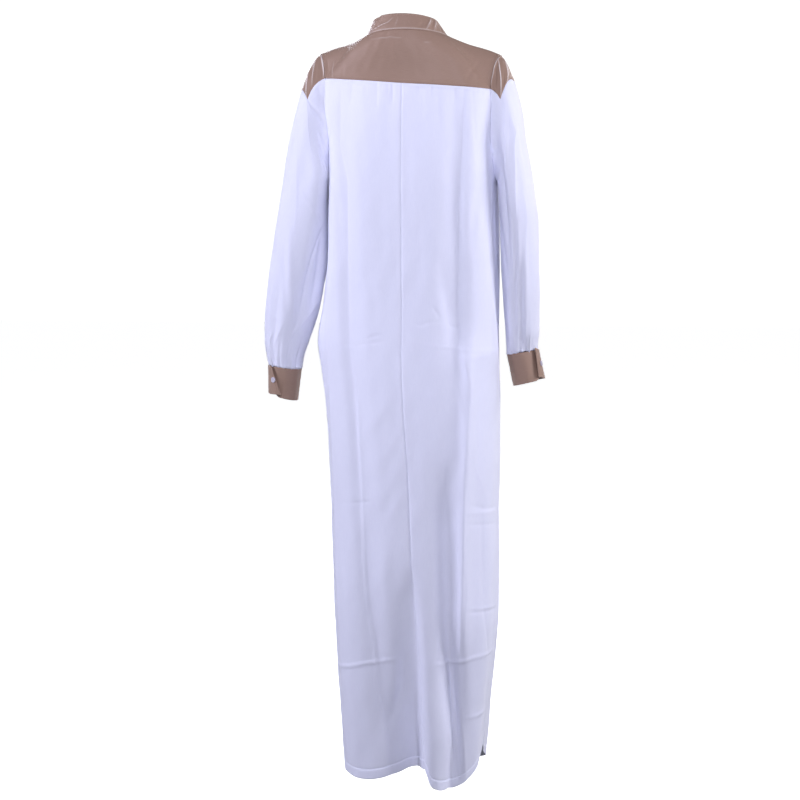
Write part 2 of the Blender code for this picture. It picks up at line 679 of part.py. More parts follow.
def front_edge_normal(side, row):
    """Which way the front faces along its seam with the yoke."""
    surface = front_surface(side)
    place = min(NECK_SHARE + (1.0 - NECK_SHARE) * row / YOKE_ROWS, 1.0 - 1e-9)
    point = surface(place, 0.004)
    return surface_normal(surface, place, 0.004, Vector((point.x, point.y - 0.02, 0.0)))


def add_yoke(name, finish):
    """A fan of smooth curves from the neckline out to the armholes and the back seam."""
    outline = yoke_outline()
    columns = len(outline) - 1
    neck_angle = yoke_neck_angle()
    points = []
    normals = []
    for column, (end, end_normal, kind) in enumerate(outline):
        angle = neck_angle(column)
        for row in range(YOKE_ROWS + 1):
            t = row / YOKE_ROWS
            if row == YOKE_ROWS and kind == "seam":
                t = 1.0 - SEAM_GAP / (end - neck_point(NECKLINE, angle)).length
            points.append(yoke_point(angle, end, end_normal, t))
            normals.append(end_normal if row == YOKE_ROWS else None)
    index = lambda column, row: column * (YOKE_ROWS + 1) + row
    for column, side in ((0, LEFT), (columns, RIGHT)):
        for row in range(YOKE_ROWS + 1):
            normals[index(column, row)] = front_edge_normal(side, row)
            points[index(column, row)] += Vector((0.0, SEAM_GAP, 0.3 * SEAM_GAP))
    faces = grid_faces(columns, YOKE_ROWS, index)
    sums = [Vector((0.0, 0.0, 0.0)) for _ in points]
    for face in faces:
        normal = face_normal(points, face)
        for i in face:
            sums[i] += normal
    outward = -1.0 if sum(normal.z for normal in sums) < 0.0 else 1.0
    for i, normal in enumerate(normals):
        if normal is None:
            normals[i] = sums[i].normalized() * outward
    return thick_sheet(name, points, normals, faces, WALL, finish)


# ---- sleeves ----
def ring_point(side, angle, ring):
    """A point of a sleeve ring, before the armhole's own shape and the creases."""
    curves = SLEEVE_CURVES[side]
    outer = (curves["outer_x"](ring), curves["outer_z"](ring))
    inner = (curves["inner_x"](ring), curves["inner_z"](ring))
    turn = math.radians(angle)
    part = 0.5 - 0.5 * math.cos(turn)
    x = mix(outer[0], inner[0], part)
    z = mix(outer[1], inner[1], part)
    y = curves["middle_y"](ring) + curves["half_depth"](ring) * math.sin(turn)
    return Vector((side * x, y, z))


def sleeve_fold(side, angle, ring):
    total = 0.0
    for fold_side, ring_top, angle_top, ring_low, angle_low, depth, width in SLEEVE_FOLDS:
        if fold_side != side:
            continue
        part = (ring - ring_top) / (ring_low - ring_top)
        if part <= 0.0 or part >= 1.0:
            continue
        centre = mix(angle_top, angle_low, part)
        offset = (angle - centre + 180.0) % 360.0 - 180.0
        total += depth * math.sin(math.pi * part) ** 0.8 * math.exp(-(offset / width) ** 2)
    return total


def sleeve_point(side, angle, ring):
    """A point of the outer face of a sleeve; ring 0 lies on the armhole."""
    point = ring_point(side, angle, ring)
    if ring < LOOP_REACH:
        wrapped = (angle + 180.0) % 360.0 - 180.0
        hole = armhole_point(side, wrapped)
        shift = hole - ring_point(side, wrapped, 0.0)
        point += shift * (1.0 - ring / LOOP_REACH) ** 2
        point.x += side * (SEAM_GAP + 0.0001) * (1.0 - ring / LOOP_REACH)
    step = 2.0
    depth = sleeve_fold(side, angle, ring)
    if depth:
        along = ring_point(side, angle + step, ring) - ring_point(side, angle - step, ring)
        down = ring_point(side, angle, ring + 0.1) - ring_point(side, angle, ring - 0.1)
        normal = along.cross(down).normalized()
        middle = ring_point(side, 0.0, ring).lerp(ring_point(side, 180.0, ring), 0.5)
        if normal.dot(point - middle) < 0.0:
            normal = -normal
        point += normal * depth
    return point


def sleeve_normal(side, angle, ring):
    middle = ring_point(side, 0.0, ring).lerp(ring_point(side, 180.0, ring), 0.5)
    outward = sleeve_point(side, angle, ring) - middle
    if ring <= 0.0:
        return armhole_rim_normal(side, angle)
    inside = max(ring, 0.02)
    surface = lambda a, r: sleeve_point(side, angle + (a - angle) * 400.0, inside + (r - inside) * 10.0)
    return surface_normal(surface, angle, inside, outward)


def armhole_rim_normal(side, angle):
    """Which way a sleeve faces where it leaves the armhole: over the top as the yoke does."""
    wrapped = (angle + 180.0) % 360.0 - 180.0
    corner = ARMHOLES[side]["corner"]
    if abs(wrapped) <= corner:
        return arch_normal(side, wrapped)
    turn = math.radians(wrapped)
    plain = Vector((0.0, math.sin(turn), math.cos(turn)))
    amount = 1.0 - smooth_step((abs(wrapped) - corner) / 45.0)
    return plain.lerp(arch_normal(side, wrapped), amount).normalized()


def head_angle(side, ring):
    """How far round, from the top, a sleeve head's side edges lie at a ring."""
    head = HEADS[side]
    corner = ARMHOLES[side]["corner"]
    if ring <= head["tip_ring"]:
        return mix(corner, head["tip_angle"], ring / head["tip_ring"])
    return mix(head["tip_angle"], 56.0, smooth_step((ring - head["tip_ring"]) / 6.0))


def head_ring(side, share):
    """Ring of a sleeve head's lower edge; share runs from -1 at its front tip to 1 at its back."""
    head = HEADS[side]
    return mix(head["notch_ring"], head["tip_ring"], abs(share))


def edge_gap(side, angle, ring, towards_cuff):
    """Move half a seam's gap up or down a sleeve from a ring."""
    length = (sleeve_point(side, angle, ring + 0.5) - sleeve_point(side, angle, ring - 0.5)).length
    step = 0.8 * SEAM_GAP / max(length, 1e-4)
    return ring + step if towards_cuff else ring - step


def add_sleeve_head(name, side, finish):
    points = []
    normals = []
    for column in range(HEAD_STEPS + 1):
        share = -1.0 + 2.0 * column / HEAD_STEPS
        for row in range(HEAD_ROWS + 1):
            ring = head_ring(side, share) * row / HEAD_ROWS
            angle = head_angle(side, ring) * share
            if abs(share) == 1.0:
                angle -= share * 0.2
            if row == HEAD_ROWS:
                ring = edge_gap(side, angle, ring, False)
            points.append(sleeve_point(side, angle, ring))
            normals.append(sleeve_normal(side, angle, ring))
    index = lambda column, row: column * (HEAD_ROWS + 1) + row
    return thick_sheet(name, points, normals, grid_faces(HEAD_STEPS, HEAD_ROWS, index), WALL, finish)


def sleeve_grid(side):
    """Angle and ring of every sleeve vertex by column, in order from the back tip round the inside.

    The columns between the two tips start at the sleeve head's lower edge, and the rest start
    at the armhole. Their first rows are missing and given as None.
    """
    grid = []
    head = HEADS[side]
    inner = 2 * UNDERARM_STEPS
    for i in range(inner + 1):
        column = []
        for row in range(SLEEVE_ROWS + 1):
            ring = head["tip_ring"] * row / HEAD_ROWS
            if row > HEAD_ROWS:
                ring = mix(head["tip_ring"], LAST_RING, (row - HEAD_ROWS) / (SLEEVE_ROWS - HEAD_ROWS))
            edge = head_angle(side, ring) + (0.2 if row < HEAD_ROWS else 0.0)
            column.append((mix(edge, 360.0 - edge, i / inner), ring))
        grid.append(column)
    for i in range(1, HEAD_STEPS):
        share = -1.0 + 2.0 * i / HEAD_STEPS
        column = [None] * HEAD_ROWS
        for row in range(HEAD_ROWS, SLEEVE_ROWS + 1):
            part = (row - HEAD_ROWS) / (SLEEVE_ROWS - HEAD_ROWS)
            ring = mix(head_ring(side, share), LAST_RING, part)
            column.append((360.0 + head_angle(side, ring) * share, ring))
        grid.append(column)
    return grid


def add_sleeve(name, side, finish):
    """A tube of rings, parted along a short slit above the cuff."""
    grid = sleeve_grid(side)
    count = len(grid)
    last_angles = [(column[-1][0] - CUFF_SLIT_ANGLE + 180.0) % 360.0 - 180.0 for column in grid]
    slit = min(range(count), key=lambda i: abs(last_angles[i]))
    points = []
    normals = []
    indices = {}
    for column in range(count):
        for row in range(SLEEVE_ROWS + 1):
            if grid[column][row] is None:
                continue
            angle, ring = grid[column][row]
            open_part = max(0.0, 1.0 - (LAST_RING - ring) / CUFF_SLIT_RINGS) if column == slit else 0.0
            if row == HEAD_ROWS and (column in (0, 2 * UNDERARM_STEPS) or column > 2 * UNDERARM_STEPS):
                ring = edge_gap(side, angle, ring, True)
            if row == SLEEVE_ROWS:
                ring -= 0.006
            for sheet in ((0, 1) if open_part > 0.0 else (0,)):
                turn = (0.5 - sheet) * CUFF_SLIT_OPEN * open_part
                indices[(column, row, sheet)] = len(points)
                points.append(sleeve_point(side, angle + turn, ring))
                normals.append(sleeve_normal(side, angle + turn, ring))
    faces = []
    for column in range(count):
        after = (column + 1) % count
        for row in range(SLEEVE_ROWS):
            corners = (
                indices.get((column, row, 0)),
                indices.get((after, row, 1), indices.get((after, row, 0))),
                indices.get((after, row + 1, 1), indices.get((after, row + 1, 0))),
                indices.get((column, row + 1, 0)))
            if None not in corners:
                faces.append(corners)
    return thick_sheet(name, points, normals, faces, WALL, finish)


# ---- cuffs ----
def cuff_point(side, angle, down, stand_off, lift):
    """A point of a cuff: down is 0 at the sleeve and 1 at the lower edge."""
    cuff = CUFFS[side]
    curves = SLEEVE_CURVES[side]
    outer = Vector((mix(curves["outer_x"](LAST_RING), cuff["outer"][0], down), 0.0,
                    mix(curves["outer_z"](LAST_RING), cuff["outer"][1], down)))
    inner = Vector((mix(curves["inner_x"](LAST_RING), cuff["inner"][0], down), 0.0,
                    mix(curves["inner_z"](LAST_RING), cuff["inner"][1], down)))
    middle_y = mix(curves["middle_y"](LAST_RING), cuff["middle_y"], down)
    half_depth = mix(curves["half_depth"](LAST_RING), cuff["half_depth"], down)
    turn = math.radians(angle)
    radial = Vector(((outer.x - inner.x) * 0.5 * math.cos(turn), half_depth * math.sin(turn),
                     (outer.z - inner.z) * 0.5 * math.cos(turn)))
    centre = outer.lerp(inner, 0.5)
    point = Vector((centre.x, middle_y, centre.z)) + radial
    point += radial.normalized() * stand_off
    point.z += lift
    return Vector((side * point.x, point.y, point.z))


def flap_stand_off(side, angle):
    """How far the strip has risen off the layer below, and how far it rides up, at an angle."""
    cuff = CUFFS[side]
    rise = smooth_step((angle - 290.0) / (cuff["start"] + 45.0))
    end = 360.0 + cuff["flap_low"]
    tail = smooth_step((angle - 360.0 - cuff["start"] + 12.0) / (end - 360.0 - cuff["start"] + 12.0))
    return BAND_WALL * 1.5 * rise + (FLAP_STANDS_OFF - BAND_WALL * 1.5) * tail, FLAP_LIFT * tail


def cuff_surface(side):
    """The cuff's strip: along is its fraction from the under end to the flap's end."""
    cuff = CUFFS[side]

    def surface(along, down):
        end = 360.0 + mix(cuff["flap_top"], cuff["flap_low"], down)
        angle = mix(cuff["start"], end, along)
        stand_off, lift = flap_stand_off(side, angle)
        bevel = 0.25 * max(0.0, 1.0 - along / 0.10) ** 1.3
        top = 0.010 + 0.02 * max(0.0, 1.0 - along / 0.10)
        return cuff_point(side, angle, mix(top, 1.0 - bevel, down), stand_off, lift)
    return surface


def add_cuff(name, side, finish):
    surface = cuff_surface(side)
    rows = 3
    points = []
    normals = []
    for row in range(rows + 1):
        for column in range(CUFF_STEPS + 1):
            along = column / CUFF_STEPS
            down = row / rows
            point = surface(along, down)
            centre = 0.5 * (surface(0.25, down) + surface(0.7, down))
            points.append(point)
            normals.append(surface_normal(surface, along, down, point - centre))
    index = lambda column, row: row * (CUFF_STEPS + 1) + column
    return thick_sheet(name, points, normals, grid_faces(CUFF_STEPS, rows, index), BAND_WALL, finish)


# ---- buttons ----
def add_button(name, point, normal, finish):
    """A plain round button with a soft rim and a dished middle, standing just off its cloth."""
    profile = (
        (0.0, 0.0), (0.86, 0.0), (1.0, 0.28), (1.0, 0.62), (0.88, 1.0), (0.66, 1.0), (0.58, 0.72), (0.0, 0.72))
    sides = 14
    normal = normal.normalized()
    across = normal.orthogonal().normalized()
    upward = normal.cross(across)
    base = point + normal * SEAM_GAP
    verts = [base]
    for radius, height in profile[1:-1]:
        for i in range(sides):
            turn = 2.0 * math.pi * i / sides
            spoke = across * math.cos(turn) + upward * math.sin(turn)
            verts.append(base + spoke * BUTTON_RADIUS * radius + normal * BUTTON_THICKNESS * height)
    verts.append(base + normal * BUTTON_THICKNESS * profile[-1][1])
    rings = len(profile) - 2
    faces = []
    for i in range(sides):
        after = (i + 1) % sides
        faces.append((0, 1 + after, 1 + i))
        for ring in range(rings - 1):
            low = 1 + ring * sides
            high = low + sides
            faces.append((low + i, low + after, high + after, high + i))
        top = 1 + (rings - 1) * sides
        faces.append((top + i, top + after, len(verts) - 1))
    return add_object(name, verts, faces, finish)


def add_cuff_button(name, side, finish):
    cuff = CUFFS[side]
    surface = cuff_surface(side)
    down = 0.5
    end = 360.0 + mix(cuff["flap_top"], cuff["flap_low"], down)
    along = (360.0 + cuff["button"] - cuff["start"]) / (end - cuff["start"])
    point = surface(along, down)
    centre = 0.5 * (surface(0.25, down) + surface(0.7, down))
    normal = surface_normal(surface, along, down, point - centre)
    return add_button(name, point, normal, finish)


# ---- collar ----
def collar_angles():
    """The collar's mesh columns, which follow the front's and the yoke's along the neckline."""
    neck_angle = yoke_neck_angle()
    half_gap = math.degrees(0.5 * COLLAR_OPENING / NECKLINE["wide"])
    front = [mix(-90.0, YOKE_FRONT_ANGLE, i / NECK_COLUMNS) for i in range(NECK_COLUMNS)]
    front[0] += half_gap
    yoke = [neck_angle(column) for column in range(2 * HEAD_STEPS + 2 * BODY_COLUMNS + 1)]
    return front + yoke + [180.0 - angle for angle in reversed(front)]


def add_collar(name, finish):
    """The band collar, rising and leaning in from the neckline, open at the front."""
    rows = 3
    ends_at = -90.0 + math.degrees(0.5 * COLLAR_OPENING / NECKLINE["wide"])

    def surface(angle, up):
        low = neck_point(NECKLINE, angle)
        high = neck_point(COLLAR_TOP, angle)
        low.z += SEAM_GAP * 1.7
        beyond = math.radians(min(angle - ends_at, 180.0 - ends_at - angle)) * NECKLINE["wide"]
        edge = min(max(1.0 - beyond / COLLAR_CORNER, 0.0), 1.0)
        return low.lerp(high, up * (0.5 + 0.5 * math.sqrt(1.0 - edge * edge)))

    angles = collar_angles()
    points = []
    normals = []
    for row in range(rows + 1):
        for angle in angles:
            up = row / rows
            point = surface(angle, up)
            middle = NECKLINE["centre"]
            outward = Vector((point.x - middle[0], point.y - middle[1], 0.0))
            inside = min(max(angle, ends_at + 12.0), 180.0 - ends_at - 12.0)
            wide = lambda a, u: surface(inside + (a - angle) * 400.0, u)
            points.append(point)
            normals.append(surface_normal(wide, angle, up, outward))
    index = lambda column, row: row * len(angles) + column
    return thick_sheet(name, points, normals, grid_faces(len(angles) - 1, rows, index), BAND_WALL, finish)


# ---- placket ----
def front_row_at(height):
    """The front's mesh row, on its middle line, that lies at a height."""
    surface = front_surface(LEFT)
    low, high = 0.0, float(UNDERARM_STEPS + 4)
    for _ in range(40):
        middle = 0.5 * (low + high)
        if surface(0.0, middle).z > height:
            low = middle
        else:
            high = middle
    return 0.5 * (low + high)


def placket_point(across, height, out):
    """A point over the middle of the front, a distance out from it."""
    side = LEFT if across >= 0.0 else RIGHT
    surface = front_surface(side)
    place = abs(across) / 0.20
    row = front_row_at(height)
    point = surface(place, row)
    normal = surface_normal(surface, max(place, 2e-3), row, Vector((point.x, point.y - 0.02, 0.0)))
    normal.x = normal.x if abs(across) > 1e-6 else 0.0
    return point + normal.normalized() * out, normal.normalized()


def add_placket(name, finish):
    columns = 4
    rows = 16
    top = NECKLINE["level"] - NECKLINE["drop"] - 0.004
    points = []
    normals = []
    out = SEAM_GAP + 0.0005 + PLACKET_WALL
    for row in range(rows + 1):
        for column in range(columns + 1):
            across = PLACKET_WIDTH * (column / columns - 0.5)
            drop = mix(top, top - PLACKET_LENGTH, row / rows)
            point, normal = placket_point(across, drop, out)
            points.append(point)
            normals.append(normal)
    index = lambda column, row: row * (columns + 1) + column
    return thick_sheet(name, points, normals, grid_faces(columns, rows, index), PLACKET_WALL, finish)


def add_placket_buttons(finish):
    top = NECKLINE["level"] - NECKLINE["drop"] - 0.034
    for i in range(PLACKET_BUTTONS):
        out = SEAM_GAP + 0.0005 + PLACKET_WALL
        point, normal = placket_point(0.0, top - BUTTON_SPACING * i, out)
        add_button(f"placket_button_{i + 1}", point, normal, finish)


def main():
    for old in list(bpy.data.objects):
        bpy.data.objects.remove(old, do_unlink=True)
    white = material("white_cloth", WHITE, 0.62)
    tan = material("tan_satin", TAN, 0.38)
    pearl = material("pearl_button", PEARL, 0.28)
    add_back_panel("back_left", LEFT, white)
    add_back_panel("back_right", RIGHT, white)
    add_front("front", white)
    add_yoke("yoke", tan)
    add_collar("collar_stand", tan)
    add_placket("placket", white)
    add_placket_buttons(pearl)
    for side, word in ((LEFT, "left"), (RIGHT, "right")):
        add_sleeve_head(f"sleeve_head_{word}", side, tan)
        add_sleeve(f"sleeve_{word}", side, white)
        add_cuff(f"cuff_{word}", side, tan)
        add_cuff_button(f"cuff_button_{word}", side, pearl)


main()
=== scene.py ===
"""A thobe robe, worn: white woven body and sleeves, tan satin collar, yoke, sleeve heads and cuffs.

Metres, +Z up. The wearer faces -Y and their left arm is at +X.
"""
import math

import bpy
import numpy as np
from mathutils import Matrix, Vector


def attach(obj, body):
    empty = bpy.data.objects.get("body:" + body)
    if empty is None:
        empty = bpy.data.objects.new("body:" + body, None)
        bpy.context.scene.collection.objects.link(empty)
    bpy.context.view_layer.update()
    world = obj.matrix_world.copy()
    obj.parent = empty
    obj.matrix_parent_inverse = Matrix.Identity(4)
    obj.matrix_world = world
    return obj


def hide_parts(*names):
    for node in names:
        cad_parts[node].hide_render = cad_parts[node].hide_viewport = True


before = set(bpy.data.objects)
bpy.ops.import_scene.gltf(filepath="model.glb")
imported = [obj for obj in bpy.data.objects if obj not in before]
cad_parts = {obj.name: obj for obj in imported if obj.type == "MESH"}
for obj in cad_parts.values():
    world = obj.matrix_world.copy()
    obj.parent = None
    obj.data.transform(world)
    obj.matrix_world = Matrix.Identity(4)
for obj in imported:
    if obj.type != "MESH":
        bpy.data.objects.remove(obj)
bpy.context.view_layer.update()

# ---- studio ----
# A white floor and soft square lights, as in a plain photo studio: a key on the robe's left, a fill
# behind its back, a rim light on its right, two in front of it and a weak one above.
FLOOR_LEVEL = -1.490
VIEW_AZIMUTH = 192.0
VIEW_ELEVATION = 5.0
VIEW_DISTANCE = 3.6
VIEW_TARGET = Vector((0.02103506, 0.00447114, -0.700))
VIEW_WIDTH = 1.564          # width of the view at the target
SENSOR = 36.0
FLOOR_SIZE = 40.0
AIR_SEEN = 1.1              # strength of the white air as it is seen
AIR_LIGHT = 0.04            # strength of the light it sheds on the cloth
AIR_IN_GLOSS = 0.14         # share of it that shows in glossy reflections


def tint(code):
    """Linear colour from an sRGB hex value."""
    parts = [int(code[i:i + 2], 16) / 255.0 for i in (0, 2, 4)]
    linear = [p / 12.92 if p <= 0.04045 else ((p + 0.055) / 1.055) ** 2.4 for p in parts]
    return (*linear, 1.0)


def add_node(tree, kind, inputs, **settings):
    """Add a node, with its settings, and its inputs as plain values or links."""
    node = tree.nodes.new(kind)
    for name, value in settings.items():
        setattr(node, name, value)
    for name, value in inputs.items():
        if isinstance(value, bpy.types.NodeSocket):
            tree.links.new(value, node.inputs[name])
        else:
            node.inputs[name].default_value = value
    return node


def new_material(name):
    made = bpy.data.materials.new(name)
    made.use_nodes = True
    return made, made.node_tree, made.node_tree.nodes["Principled BSDF"]


def finish_shader(tree, shader, links, values):
    """Link a shader's inputs to nodes' outputs, and set its plain values."""
    for name, output in links.items():
        tree.links.new(output, shader.inputs[name])
    for name, value in values.items():
        shader.inputs[name].default_value = value


bpy.ops.object.select_all(action="DESELECT")
bpy.ops.mesh.primitive_plane_add(size=FLOOR_SIZE, location=(0.0, 0.0, FLOOR_LEVEL))
floor = bpy.context.object
floor.name = "studio_floor"
bpy.ops.object.transform_apply(location=True)
floor_paint, tree, shader = new_material("matt_white_floor")
finish_shader(tree, shader, {}, {
    "Base Color": tint("FAFAFC"), "Roughness": 0.9,
    "Emission Color": (1.0, 1.0, 1.0, 1.0), "Emission Strength": 0.95})
floor.data.materials.append(floor_paint)
floor.visible_diffuse = False   # it looks white without lighting the hem from below

world = bpy.data.worlds.new("studio_air")
bpy.context.scene.world = world
world.use_nodes = True
tree = world.node_tree
tree.nodes.clear()
seen = add_node(tree, "ShaderNodeBackground", {"Color": (1.0, 1.0, 1.0, 1.0), "Strength": AIR_SEEN})
bounced = add_node(tree, "ShaderNodeBackground", {"Color": tint("EEF1FF"), "Strength": AIR_LIGHT})
ray = add_node(tree, "ShaderNodeLightPath", {})
shiny = add_node(tree, "ShaderNodeMath", {
    0: ray.outputs["Is Glossy Ray"], 1: AIR_IN_GLOSS}, operation="MULTIPLY")
white_for = add_node(tree, "ShaderNodeMath", {
    0: ray.outputs["Is Camera Ray"], 1: shiny.outputs[0]}, operation="MAXIMUM")
both = add_node(tree, "ShaderNodeMixShader", {
    0: white_for.outputs[0], 1: bounced.outputs[0], 2: seen.outputs[0]})
add_node(tree, "ShaderNodeOutputWorld", {0: both.outputs[0]})

LIGHTS = (
    # name, place, looks at, size, power, colour
    ("cool_key_light", (3.15, 1.02, 0.75), (0.0, 0.0, -0.3), 1.1, 100.0, "E6E7FF"),
    ("back_fill_light", (-0.5, 2.65, 0.45), (0.0, 0.0, -0.3), 1.1, 71.0, "E8E9FF"),
    ("warm_rim_light", (-3.3, 0.0, 0.2), (0.0, 0.0, -0.6), 1.2, 84.0, "F0F0FF"),
    ("overhead_light", (0.2, 1.2, 2.6), (0.0, 0.0, -0.4), 2.0, 2.0, "F6F6FF"),
    ("front_left_light", (1.8, -3.4, 0.8), (0.0, 0.0, -0.7), 1.6, 90.0, "EDF0FF"),
    ("front_right_light", (-2.0, -3.2, 0.8), (0.0, 0.0, -0.7), 1.4, 50.0, "FAFAFF"),
)
for name, place, looks_at, size, power, colour in LIGHTS:
    bpy.ops.object.light_add(type="AREA", location=place)
    light = bpy.context.object
    light.name = name
    light.rotation_euler = (Vector(looks_at) - Vector(place)).to_track_quat("-Z", "Y").to_euler()
    light.data.size = size
    light.data.energy = power
    light.data.color = tint(colour)[:3]

turn = math.radians(VIEW_AZIMUTH)
rise = math.radians(VIEW_ELEVATION)
away = Vector((math.sin(turn) * math.cos(rise), -math.cos(turn) * math.cos(rise), math.sin(rise)))
bpy.ops.object.camera_add(location=VIEW_TARGET + away * VIEW_DISTANCE)
camera = bpy.context.object
camera.rotation_euler = (-away).to_track_quat("-Z", "Y").to_euler()
camera.data.sensor_width = SENSOR
camera.data.lens = SENSOR * VIEW_DISTANCE / VIEW_WIDTH
bpy.context.scene.camera = camera
bpy.context.scene.view_settings.view_transform = "Standard"

# ---- back of the body ----
# Two lengths of white plain-woven polyester-cotton, joined down the middle of the back, which
# hang from the yoke's straight seam. Felled side seams part into slits above a turned-up hem.
LEFT = 1
RIGHT = -1
SIDES = ((LEFT, "left"), (RIGHT, "right"))
BACK = 1
FRONT = -1
SIDE_SEAM_Y = -0.012
CLOTH = 0.0007              # thickness of the white cloth
HEM_BAND = 0.019            # height of the turned-up hem
HEM_THICKER = 0.0008        # how much thicker its two layers are
HEM_ROWS = 40               # rows of a panel, from its lower edge, that its hem's stitches need
SEWN_FLAT = 0.006           # creases begin this far from a seam that holds the cloth flat
SLIT_TOP = -1.340
SLIT_SPREAD = 0.009
SLIT_FADE = 0.08
UNEVEN = 0.0005             # slow unevenness of the white cloth
SEAM_DIP = 0.0006           # how deep the cloth turns into a seam
SEAM_REACH = 0.0019

# Horizontal sections of the body: half widths to the left and right, back and front limits, and
# squareness, where 2 is an ellipse.
BODY = {
    "height":     (-0.027, -0.055, -0.080, -0.120, -0.160, -0.200, -0.280, -0.400, -0.500, -0.585,
                   -0.640, -0.703, -0.800, -0.900, -1.020, -1.120, -1.180, -1.240, -1.300, -1.370,
                   -1.450),
    "left":       (0.1780, 0.1810, 0.1830, 0.1790, 0.1680, 0.1590, 0.1570, 0.1600, 0.1710, 0.1850,
                   0.1780, 0.1690, 0.1615, 0.1570, 0.1535, 0.1500, 0.1465, 0.1430, 0.1385, 0.1330,
                   0.1260),
    "right":      (0.1700, 0.1750, 0.1800, 0.1790, 0.1730, 0.1660, 0.1650, 0.1680, 0.1690, 0.1695,
                   0.1705, 0.1720, 0.1720, 0.1700, 0.1715, 0.1710, 0.1670, 0.1600, 0.1530, 0.1450,
                   0.1330),
    "back":       (0.0700, 0.0780, 0.0840, 0.0910, 0.0950, 0.0970, 0.0980, 0.0960, 0.0950, 0.0970,
                   0.0990, 0.1010, 0.1030, 0.1040, 0.1050, 0.1060, 0.1060, 0.1060, 0.1060, 0.1060,
                   0.1060),
    "front":      (-0.0640, -0.0780, -0.0900, -0.1060, -0.1140, -0.1190, -0.1240, -0.1220, -0.1180,
                   -0.1160, -0.1160, -0.1160, -0.1150, -0.1140, -0.1130, -0.1120, -0.1120, -0.1110,
                   -0.1110, -0.1100, -0.1100),
    "squareness": (2.00, 2.00, 2.05, 2.35, 2.80, 3.20, 3.50, 3.30, 2.90, 2.60,
                   2.60, 2.70, 2.80, 2.80, 2.80, 2.80, 2.80, 2.80, 2.75, 2.70,
                   2.60),
}

# The main soft folds. "across" runs round the cloth from the middle of a face, positive to the
# left. Depths are outwards, and the last two values are the widths of a fold's two flanks.
FOLDS = (
    # face,  top,    across, bottom, across, depth top, depth low, left width, right width
    (BACK,  -0.12,  0.118,  -0.62,  0.098,  -0.006, -0.007, 0.020, 0.020),
    (BACK,  -0.62,  0.098,  -1.36,  0.038,  -0.007, -0.010, 0.018, 0.024),
    (BACK,  -0.12, -0.104,  -0.60, -0.106,  -0.007, -0.010, 0.026, 0.018),
    (BACK,  -0.60, -0.130,  -1.20, -0.118,   0.010,  0.009, 0.013, 0.016),
    (BACK,  -0.86, -0.088,  -1.30, -0.100,  -0.014, -0.016, 0.024, 0.014),
    (BACK,  -1.16, -0.110,  -1.60, -0.108,  -0.012, -0.022, 0.018, 0.016),
    (BACK,  -1.02, -0.016,  -1.80, -0.036,  -0.002, -0.096, 0.046, 0.018),
    (BACK,  -1.00,  0.120,  -1.80,  0.105,   0.004,  0.012, 0.030, 0.034),
    (BACK,  -1.05, -0.165,  -1.80, -0.150,   0.004,  0.010, 0.024, 0.024),
    (FRONT, -0.34,  0.110,  -1.80,  0.060,  -0.005, -0.026, 0.028, 0.022),
    (FRONT, -0.30, -0.095,  -1.80, -0.085,  -0.004, -0.024, 0.022, 0.030),
    (FRONT, -0.70,  0.018,  -1.80,  0.000,   0.004,  0.020, 0.032, 0.026),
    (FRONT, -0.80, -0.160,  -1.80, -0.135,   0.005,  0.014, 0.024, 0.024),
    (FRONT, -0.76,  0.170,  -1.80,  0.130,   0.004,  0.012, 0.024, 0.026),
    (FRONT, -0.95, -0.040,  -1.80, -0.045,  -0.003, -0.022, 0.018, 0.018),
)
FOLD_FADE = 0.14
SEAM_FADE = 0.035

# The armholes: an upright oval seen from the side; the yoke's seams reach it at the corner angle.
ARMHOLES = {
    LEFT:  {"top": -0.027, "bottom": -0.274, "half_depth": 0.056, "corner": 54.0},
    RIGHT: {"top": -0.037, "bottom": -0.274, "half_depth": 0.056, "corner": 64.0},
}
UNDERARM_ROW = 9.0          # panel rows are counted from the yoke's seam: 9 at the underarm
HEM_SEAM_ROW = 24.62
HEM_ROW = 25.0
BACK_SEAM_DIP = -0.0935
HEMS = {
    (BACK, LEFT): (
        (0.00, 0.09, 0.15, 0.23, 0.30, 0.36, 0.50, 0.58, 0.65, 0.80, 0.93, 1.00),
        (-1.409, -1.4125, -1.4145, -1.421, -1.424, -1.428, -1.433, -1.432, -1.4275,
         -1.420, -1.411, -1.395)),
    (BACK, RIGHT): (
        (0.00, 0.034, 0.065, 0.10, 0.23, 0.43, 0.52, 0.61, 0.74, 0.85, 0.94, 1.00),
        (-1.409, -1.420, -1.435, -1.4425, -1.4485, -1.4495, -1.442, -1.4295, -1.4125,
         -1.404, -1.395, -1.383)),
    (FRONT, LEFT): (
        (0.00, 0.30, 0.60, 0.80, 0.93, 1.00), (-1.433, -1.437, -1.434, -1.427, -1.414, -1.396)),
    (FRONT, RIGHT): (
        (0.00, 0.30, 0.60, 0.80, 0.93, 1.00), (-1.433, -1.436, -1.430, -1.417, -1.402, -1.384)),
}


def ease(value):
    """0 below 0, 1 above 1, and an even rise between."""
    value = np.clip(value, 0.0, 1.0)
    return value * value * (3.0 - 2.0 * value)


def mix(start, end, amount):
    return start + (end - start) * amount


def ridge(distance, at, width):
    """1 where a distance is at a value, fading smoothly over a width on both sides."""
    return np.exp(-((distance - at) / width) ** 2)


def curve_weights(t):
    """Weights of the two end values and the two end slopes of a smooth curve."""
    return (2 * t ** 3 - 3 * t ** 2 + 1, 3 * t ** 2 - 2 * t ** 3,
            t ** 3 - 2 * t ** 2 + t, t ** 3 - t ** 2)


def points_at(where, keys, table):
    """Points between the rows of a table that belong to the keys."""
    return np.stack([np.interp(where, keys, table[:, i]) for i in range(3)], axis=-1)


def graded(first, even, last):
    """Places along a piece, closer at its ends, with an even run between them."""
    return np.concatenate([first, np.linspace(*even), last])


def flat_lay(across, height):
    return np.stack([across, height], axis=-1).reshape(-1, 2)


